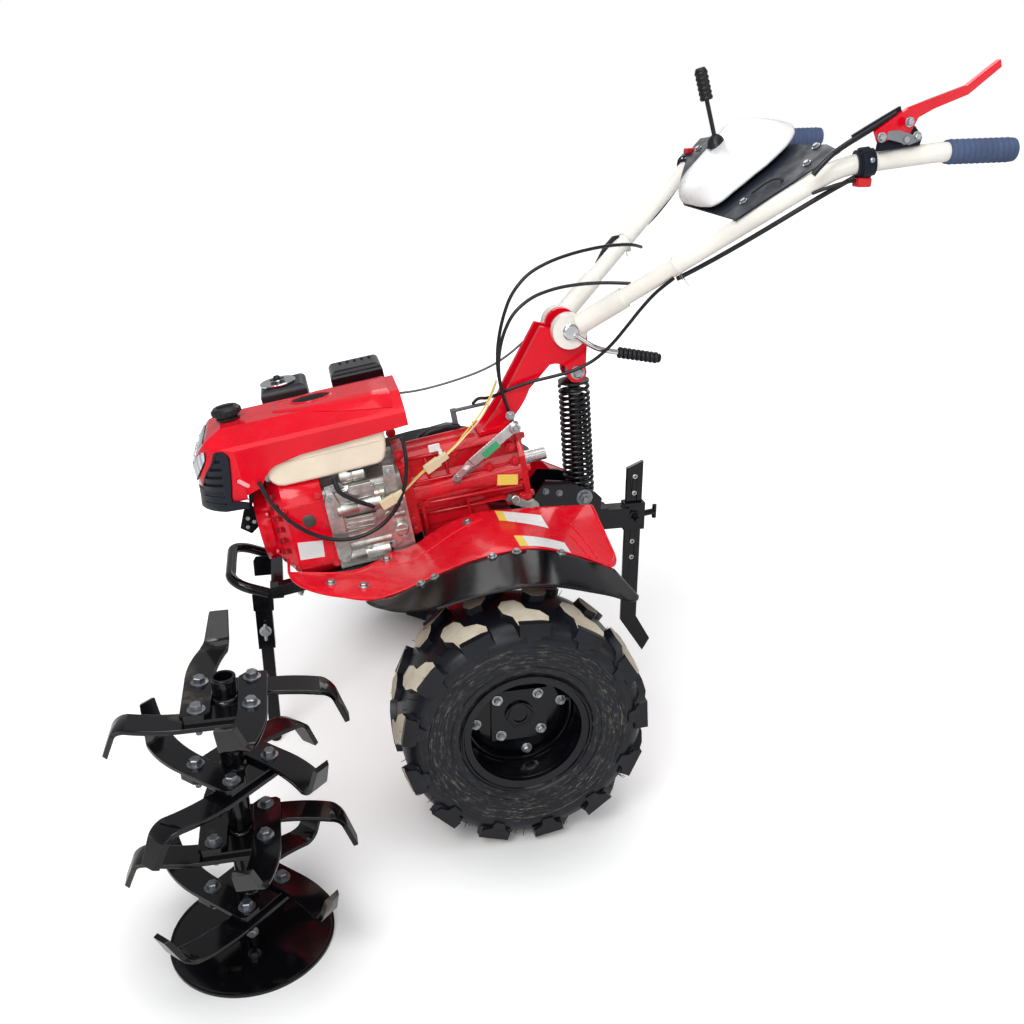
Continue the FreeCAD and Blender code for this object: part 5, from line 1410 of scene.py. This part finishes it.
def band(bm, centre, along, radius, wide, thick):
    """A strap about a line."""
    lathe(bm, [(radius, -wide / 2), (radius + thick, -wide / 2), (radius + thick, wide / 2),
               (radius, wide / 2), (radius, -wide / 2)], centre, along, 32)


for side, sign in SIDES:
    start, bend, grip, end = bar_points(sign)
    along = (bend - start).normalized()
    ties = bmesh.new()
    centre = start + along * (250 if sign > 0 else 262)
    band(ties, centre, along, 17.3, 4.4, 1.5)
    below = Vector((0, 0, -1)) + along * along.z
    below.normalize()
    tail = centre + below * 30
    across = along.cross(below).normalized() * 7
    outline = [centre + below * 16 + across, centre + below * 28 + across * 0.9, tail,
               centre + below * 28 - across * 0.9, centre + below * 16 - across]
    for shift in (-1.6, 1.6):
        faces = [ties.verts.new(p + along * shift) for p in outline]
        ties.faces.new(faces)
    rod(ties, centre + below * 18 + across * 0.6, centre + below * 46 + across * 1.6, 1.3, 8)
    piece(f"zip_tie_{side}", ties, CHASSIS, "handlebar", WHITE_TIE)
    sleeve = bmesh.new()
    band(sleeve, start + along * 130.6, along, 17.1, 2.4, 3.7)
    piece(f"sleeve_weld_{side}", sleeve, CHASSIS, "handlebar", BAR_CREAM, sharp=50)
    cap = bmesh.new()
    hand = (end - grip).normalized()
    for number in range(11):
        middle = grip + hand * (24 + 11 * number)
        lathe(cap, [(19.4, -4.6), (20.8, -3), (21.4, 0), (20.8, 3), (19.4, 4.6)], middle, hand, 28)
    lathe(cap, [(19.5, -3), (20.6, 0.5), (19.4, 2.6), (14, 3.6), (0, 3.8)], end + hand * 1.5, hand,
          28)
    piece(f"grip_ribs_{side}", cap, CHASSIS, "handlebar", FOAM, sharp=60)
    turning(f"pivot_cap_{side}", [(16.5, 0), (16.5, 3), (14.5, 5), (10, 5), (10, 9), (7, 9), (7, 4),
                                  (0, 4)], (-194, sign * 54, 856), (0, sign, 0), 40, CHASSIS,
                                  "handlebar", CHROME, sharp=35)
    switch = bmesh.new()
    middle = bend + (grip - bend) * 0.25 if sign > 0 else start + (bend - start) * 0.91
    out = (grip - bend).normalized() if sign > 0 else along
    band(switch, middle, out, 24.2, 16, 2.4)
    for reach in (-13, 13):
        band(switch, middle + out * reach, out, 17.3, 5, 6)
    piece(f"switch_clamp_{side}", switch, CHASSIS, "handlebar", DARK_GREY, bevel=0.8)
    button = bmesh.new()
    if sign > 0:
        brick(button, middle + Vector((-13, -12, -40)), middle + Vector((13, 12, -24)))
    else:
        brick(button, middle + Vector((-12, -11, 22)), middle + Vector((12, 11, 35)))
    piece(f"switch_{side}", button, CHASSIS, "handlebar", RED_PLASTIC, bevel=3.5, segments=4)
    screws = bmesh.new()
    screw(screws, middle + Vector((0, sign * 26, 6)), (0, sign, 0), 4.5, 3)
    piece(f"switch_screw_{side}", screws, CHASSIS, "handlebar", ZINC, sharp=40)

lever = bmesh.new()
path = [Vector((-290, 70, 813)), Vector((-377, 72, 797))]
along = (path[1] - path[0]).normalized()
for number in range(9):
    lathe(lever, [(8, -4.7), (11, -3.2), (12, 0), (11, 3.2), (8, 4.7)],
          path[0] + along * (5 + 9.6 * number), along, 20)
lathe(lever, [(8, 0), (10, 2), (8, 5), (0, 5.5)], path[1] - along * 1, along, 20)
piece("clamp_grip", lever, CHASSIS, "handlebar", BLACK_PLASTIC, sharp=60)

stick = bmesh.new()
base = Vector((-480, -60, 71.2))
lean = Vector((-math.sin(math.radians(21)), 0, math.cos(math.radians(21))))
for number in range(6):
    lathe(stick, [(9, -4.4), (12.6, -3), (13.6, 0), (12.6, 3), (9, 4.4)],
          base + lean * (84 + 9.6 * number), lean, 24)
lathe(stick, [(10, 0), (12, 3), (9, 8), (0, 9)], base + lean * 134, lean, 24)
lathe(stick, [(20, -12), (18, -5), (15, 3), (9, 9), (5.4, 11)], base, lean, 24)
piece("shift_grip", stick, BARS, "handlebar", BLACK_PLASTIC, sharp=60)

SHELL_LOOPS = (
    (21.9, [(-340, 0), (-342, 84), (-346, 134), (-360, 151), (-416, 149), (-470, 158), (-524, 150),
            (-566, 116), (-588, 60), (-592, -60), (-584, -160), (-556, -196), (-516, -176),
            (-454, -152), (-396, -128), (-354, -52)]),
    (40, [(-343, 0), (-345, 78), (-350, 121), (-364, 134), (-418, 131), (-470, 141), (-520, 139),
          (-556, 112), (-577, 60), (-582, -60), (-576, -152), (-552, -182), (-512, -164),
          (-450, -140), (-391, -118), (-353, -40)]),
    (53, [(-348, 2), (-351, 62), (-357, 98), (-373, 108), (-422, 104), (-470, 114), (-514, 118),
          (-545, 100), (-564, 56), (-569, -56), (-561, -142), (-540, -160), (-500, -118),
          (-438, -96), (-384, -72), (-354, -12)]),
    (60, [(-362, 4), (-366, 52), (-372, 78), (-388, 86), (-428, 84), (-470, 93), (-508, 98),
          (-532, 84), (-548, 48), (-552, -52), (-545, -124), (-524, -134), (-492, -100),
          (-442, -82), (-398, -60), (-370, -8)]),
    (63, [(-404, 6), (-408, 34), (-412, 46), (-422, 50), (-444, 50), (-470, 56), (-494, 60),
          (-508, 50), (-516, 30), (-518, -34), (-514, -74), (-502, -80), (-480, -62), (-448, -50),
          (-424, -36), (-408, -6)]),
)
shell_mesh = bmesh.new()
loops = [[shell_mesh.verts.new((-468 + 1.045 * (x + 468), 1.06 * y + 3, level)) for x, y in outline]
         for level, outline in SHELL_LOOPS]
for low, high in zip(loops, loops[1:]):
    for i in range(16):
        j = (i + 1) % 16
        shell_mesh.faces.new((low[i], low[j], high[j], high[i]))
shell_mesh.faces.new(loops[-1])
shell_mesh.faces.new(reversed(loops[0]))
shell = piece("shroud", shell_mesh, BARS, "handlebar", WHITE, sharp=180, subdivide=2)
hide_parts("control_panel")
PLATE = [(-341, 241), (-406, 265), (-465, 292), (-533, 319), (-547, 250), (-541, 196), (-541, -196),
         (-547, -250), (-533, -319), (-480, -297), (-462, -258), (-420, -196), (-374, -118),
         (-345, -24)]
tray = extrusion("shroud_plate", PLATE, 18.7, 21.7, "XY", BARS, "handlebar", DARK_GREY, bevel=0.7)
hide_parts("panel_bracket")
extrusion("shroud_scoop", [(-402, 128), (-394, 137), (-366, 134), (-352, 118), (-358, 108),
                       (-384, 114)], 32, 44, "XY", BARS, "handlebar", WHITE_TIE, bevel=3,
                       segments=3)
studs = bmesh.new()
for x, y in ((-495, 262), (-384, 198), (-538, 225), (-500, -262), (-538, -225)):
    bolt(studs, (x, y, 21.7), (0, 0, 1), 10, 4)
piece("plate_bolts", studs, BARS, "handlebar", ZINC, sharp=30)

levers = bmesh.new()
for x, z in ((-640, 1231), (-692, 1227), (-713, 1232), (-688, 1255)):
    bolt(levers, (x, 362.2 if z < 1240 and x < -650 else 374.8, z), (0, 1, 0), 10, 5, turn=x)
piece("clutch_bolts", levers, CHASSIS, "handlebar", ZINC, sharp=30)
extrusion("clutch_side_plate", [(-655, 1228), (-657, 1240), (-676, 1242), (-700, 1236),
                                (-722, 1226),
                            (-700, 1218)], 362.2, 365, "XZ", CHASSIS, "handlebar", GREY_PLASTIC,
                            bevel=0.8)
tube("clutch_cable", [(-540, 338, 1170), (-560, 345, 1198), (-590, 348, 1219), (-632, 350, 1243),
                      (-676, 350, 1268)],
     5.0, CHASSIS, "handlebar", CABLE)
extrusion("cable_guard", [(-604, 1226), (-600, 1234), (-650, 1262), (-684, 1280), (-688, 1270),
                      (-650, 1250)], 343, 349, "XZ", CHASSIS, "handlebar", DARK_GREY, bevel=1)
tube("switch_lead_left", [(-560, 304, 1136), (-590, 318, 1150), (-620, 326, 1158),
                          (-642, 328, 1160)],
     3.0, CHASSIS, "handlebar", CABLE)
tube("switch_lead_right", [(-440, -206, 1034), (-470, -226, 1052), (-540, -270, 1118),
                           (-600, -306, 1168), (-636, -322, 1202)],
     3.4, CHASSIS, "handlebar", CABLE)
tube("panel_lead", [(-520, 272, 1102), (-540, 252, 1150), (-520, 232, 1164), (-480, 228, 1132)],
     2.4, CHASSIS, "handlebar", CABLE)
extrusion("bar_tag", [(-361, 1016), (-352, 986), (-318, 950), (-308, 956), (-326, 992),
                      (-346, 1014)],
      -170, -160, "XZ", CHASSIS, "handlebar", BLACK_PLASTIC, bevel=2, segments=3)
ears = bmesh.new()
bolt(ears, (-220, 32, 765), (0, 1, 0), 15, 7)
piece("bracket_bolts", ears, CHASSIS, "chassis", ZINC, sharp=30)
soften(["clutch_lever", "clutch_bracket", "depth_bar", "stand_leg"], 1.2, 30)
soften(["flare_left", "flare_right"], 0.8, 35)


# --- Cables that cross the handlebar's pivot -----------------------------------------------------

# Each keeps the frame's mesh. Their ends at the bars are free in the frame, and stay free here.
for node, near, far in (("shift_cables", (-60, 0, 780), (-300, 0, 960)),
                        ("cable_under_bar", (-110, 44, 752), (-300, 108, 884)),
                        ("throttle_cable", (0, -85, 740), (-290, -146, 918))):
    source = NODES[node]
    cable = bpy.data.objects.new(f"{node}_bending", source.data.copy())
    cable.matrix_world = source.matrix_world
    scene.collection.objects.link(cable)
    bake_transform(cable)
    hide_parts(node)


# --- Floor ---------------------------------------------------------------------------------------

floor_mesh = bpy.data.meshes.new("floor")
floor_mesh.from_pydata([(-30, -30, 0), (30, -30, 0), (30, 30, 0), (-30, 30, 0)], [], [(0, 1, 2, 3)])
floor = bpy.data.objects.new("floor", floor_mesh)
scene.collection.objects.link(floor)
floor_material, ft, fb = base_material("floor", (0.8, 0.8, 0.8), 0.8, specular=0.1)
floor_mesh.materials.append(floor_material)


def fade(centre, near, far, low, high):
    """A number that rises smoothly from low to high with the distance from a place on the floor."""
    apart = node_of(ft, "VectorMath", {0: place_of(ft), 1: centre}, operation="DISTANCE")
    return node_of(ft, "MapRange", {0: apart.outputs["Value"], 1: near, 2: far, 3: low, 4: high},
                   interpolation_type="SMOOTHSTEP").outputs[0]


# The floor's glow is weaker near the machine, so that its shadow shows, and falls to nothing at the
# wheels' and the rotor's feet, which paints dark contact shadows there.
glow_and_painted_shadow = fade((0, 0, 0), 0.7, 2.2, 0.42, 1.0)
for foot in (at(0, WHEEL_OUT, 0), at(0, -WHEEL_OUT, 0), at(*ROTOR_PLACE, 0)):
    glow_and_painted_shadow = math_of(ft, "MULTIPLY", glow_and_painted_shadow, fade(foot, 0.04, 0.36, 0.0, 1.0))
f_path = node_of(ft, "LightPath").outputs
f_seen = math_of(ft, "MAXIMUM", f_path["Is Camera Ray"], f_path["Is Transmission Ray"])
f_seen = math_of(ft, "MAXIMUM", f_seen, math_of(ft, "MULTIPLY", f_path["Is Glossy Ray"], 0.2))
f_glow = node_of(ft, "Emission", {0: (1, 1, 1, 1), 1: math_of(ft, "MULTIPLY", f_seen, glow_and_painted_shadow)})
f_sum = node_of(ft, "AddShader", {0: fb.outputs[0], 1: f_glow.outputs[0]})
ft.links.new(f_sum.outputs[0], ft.nodes["Material Output"].inputs[0])
bump_of(ft, noise_of(ft, 30.0, 4.0), 0.02, 0.0005, fb)
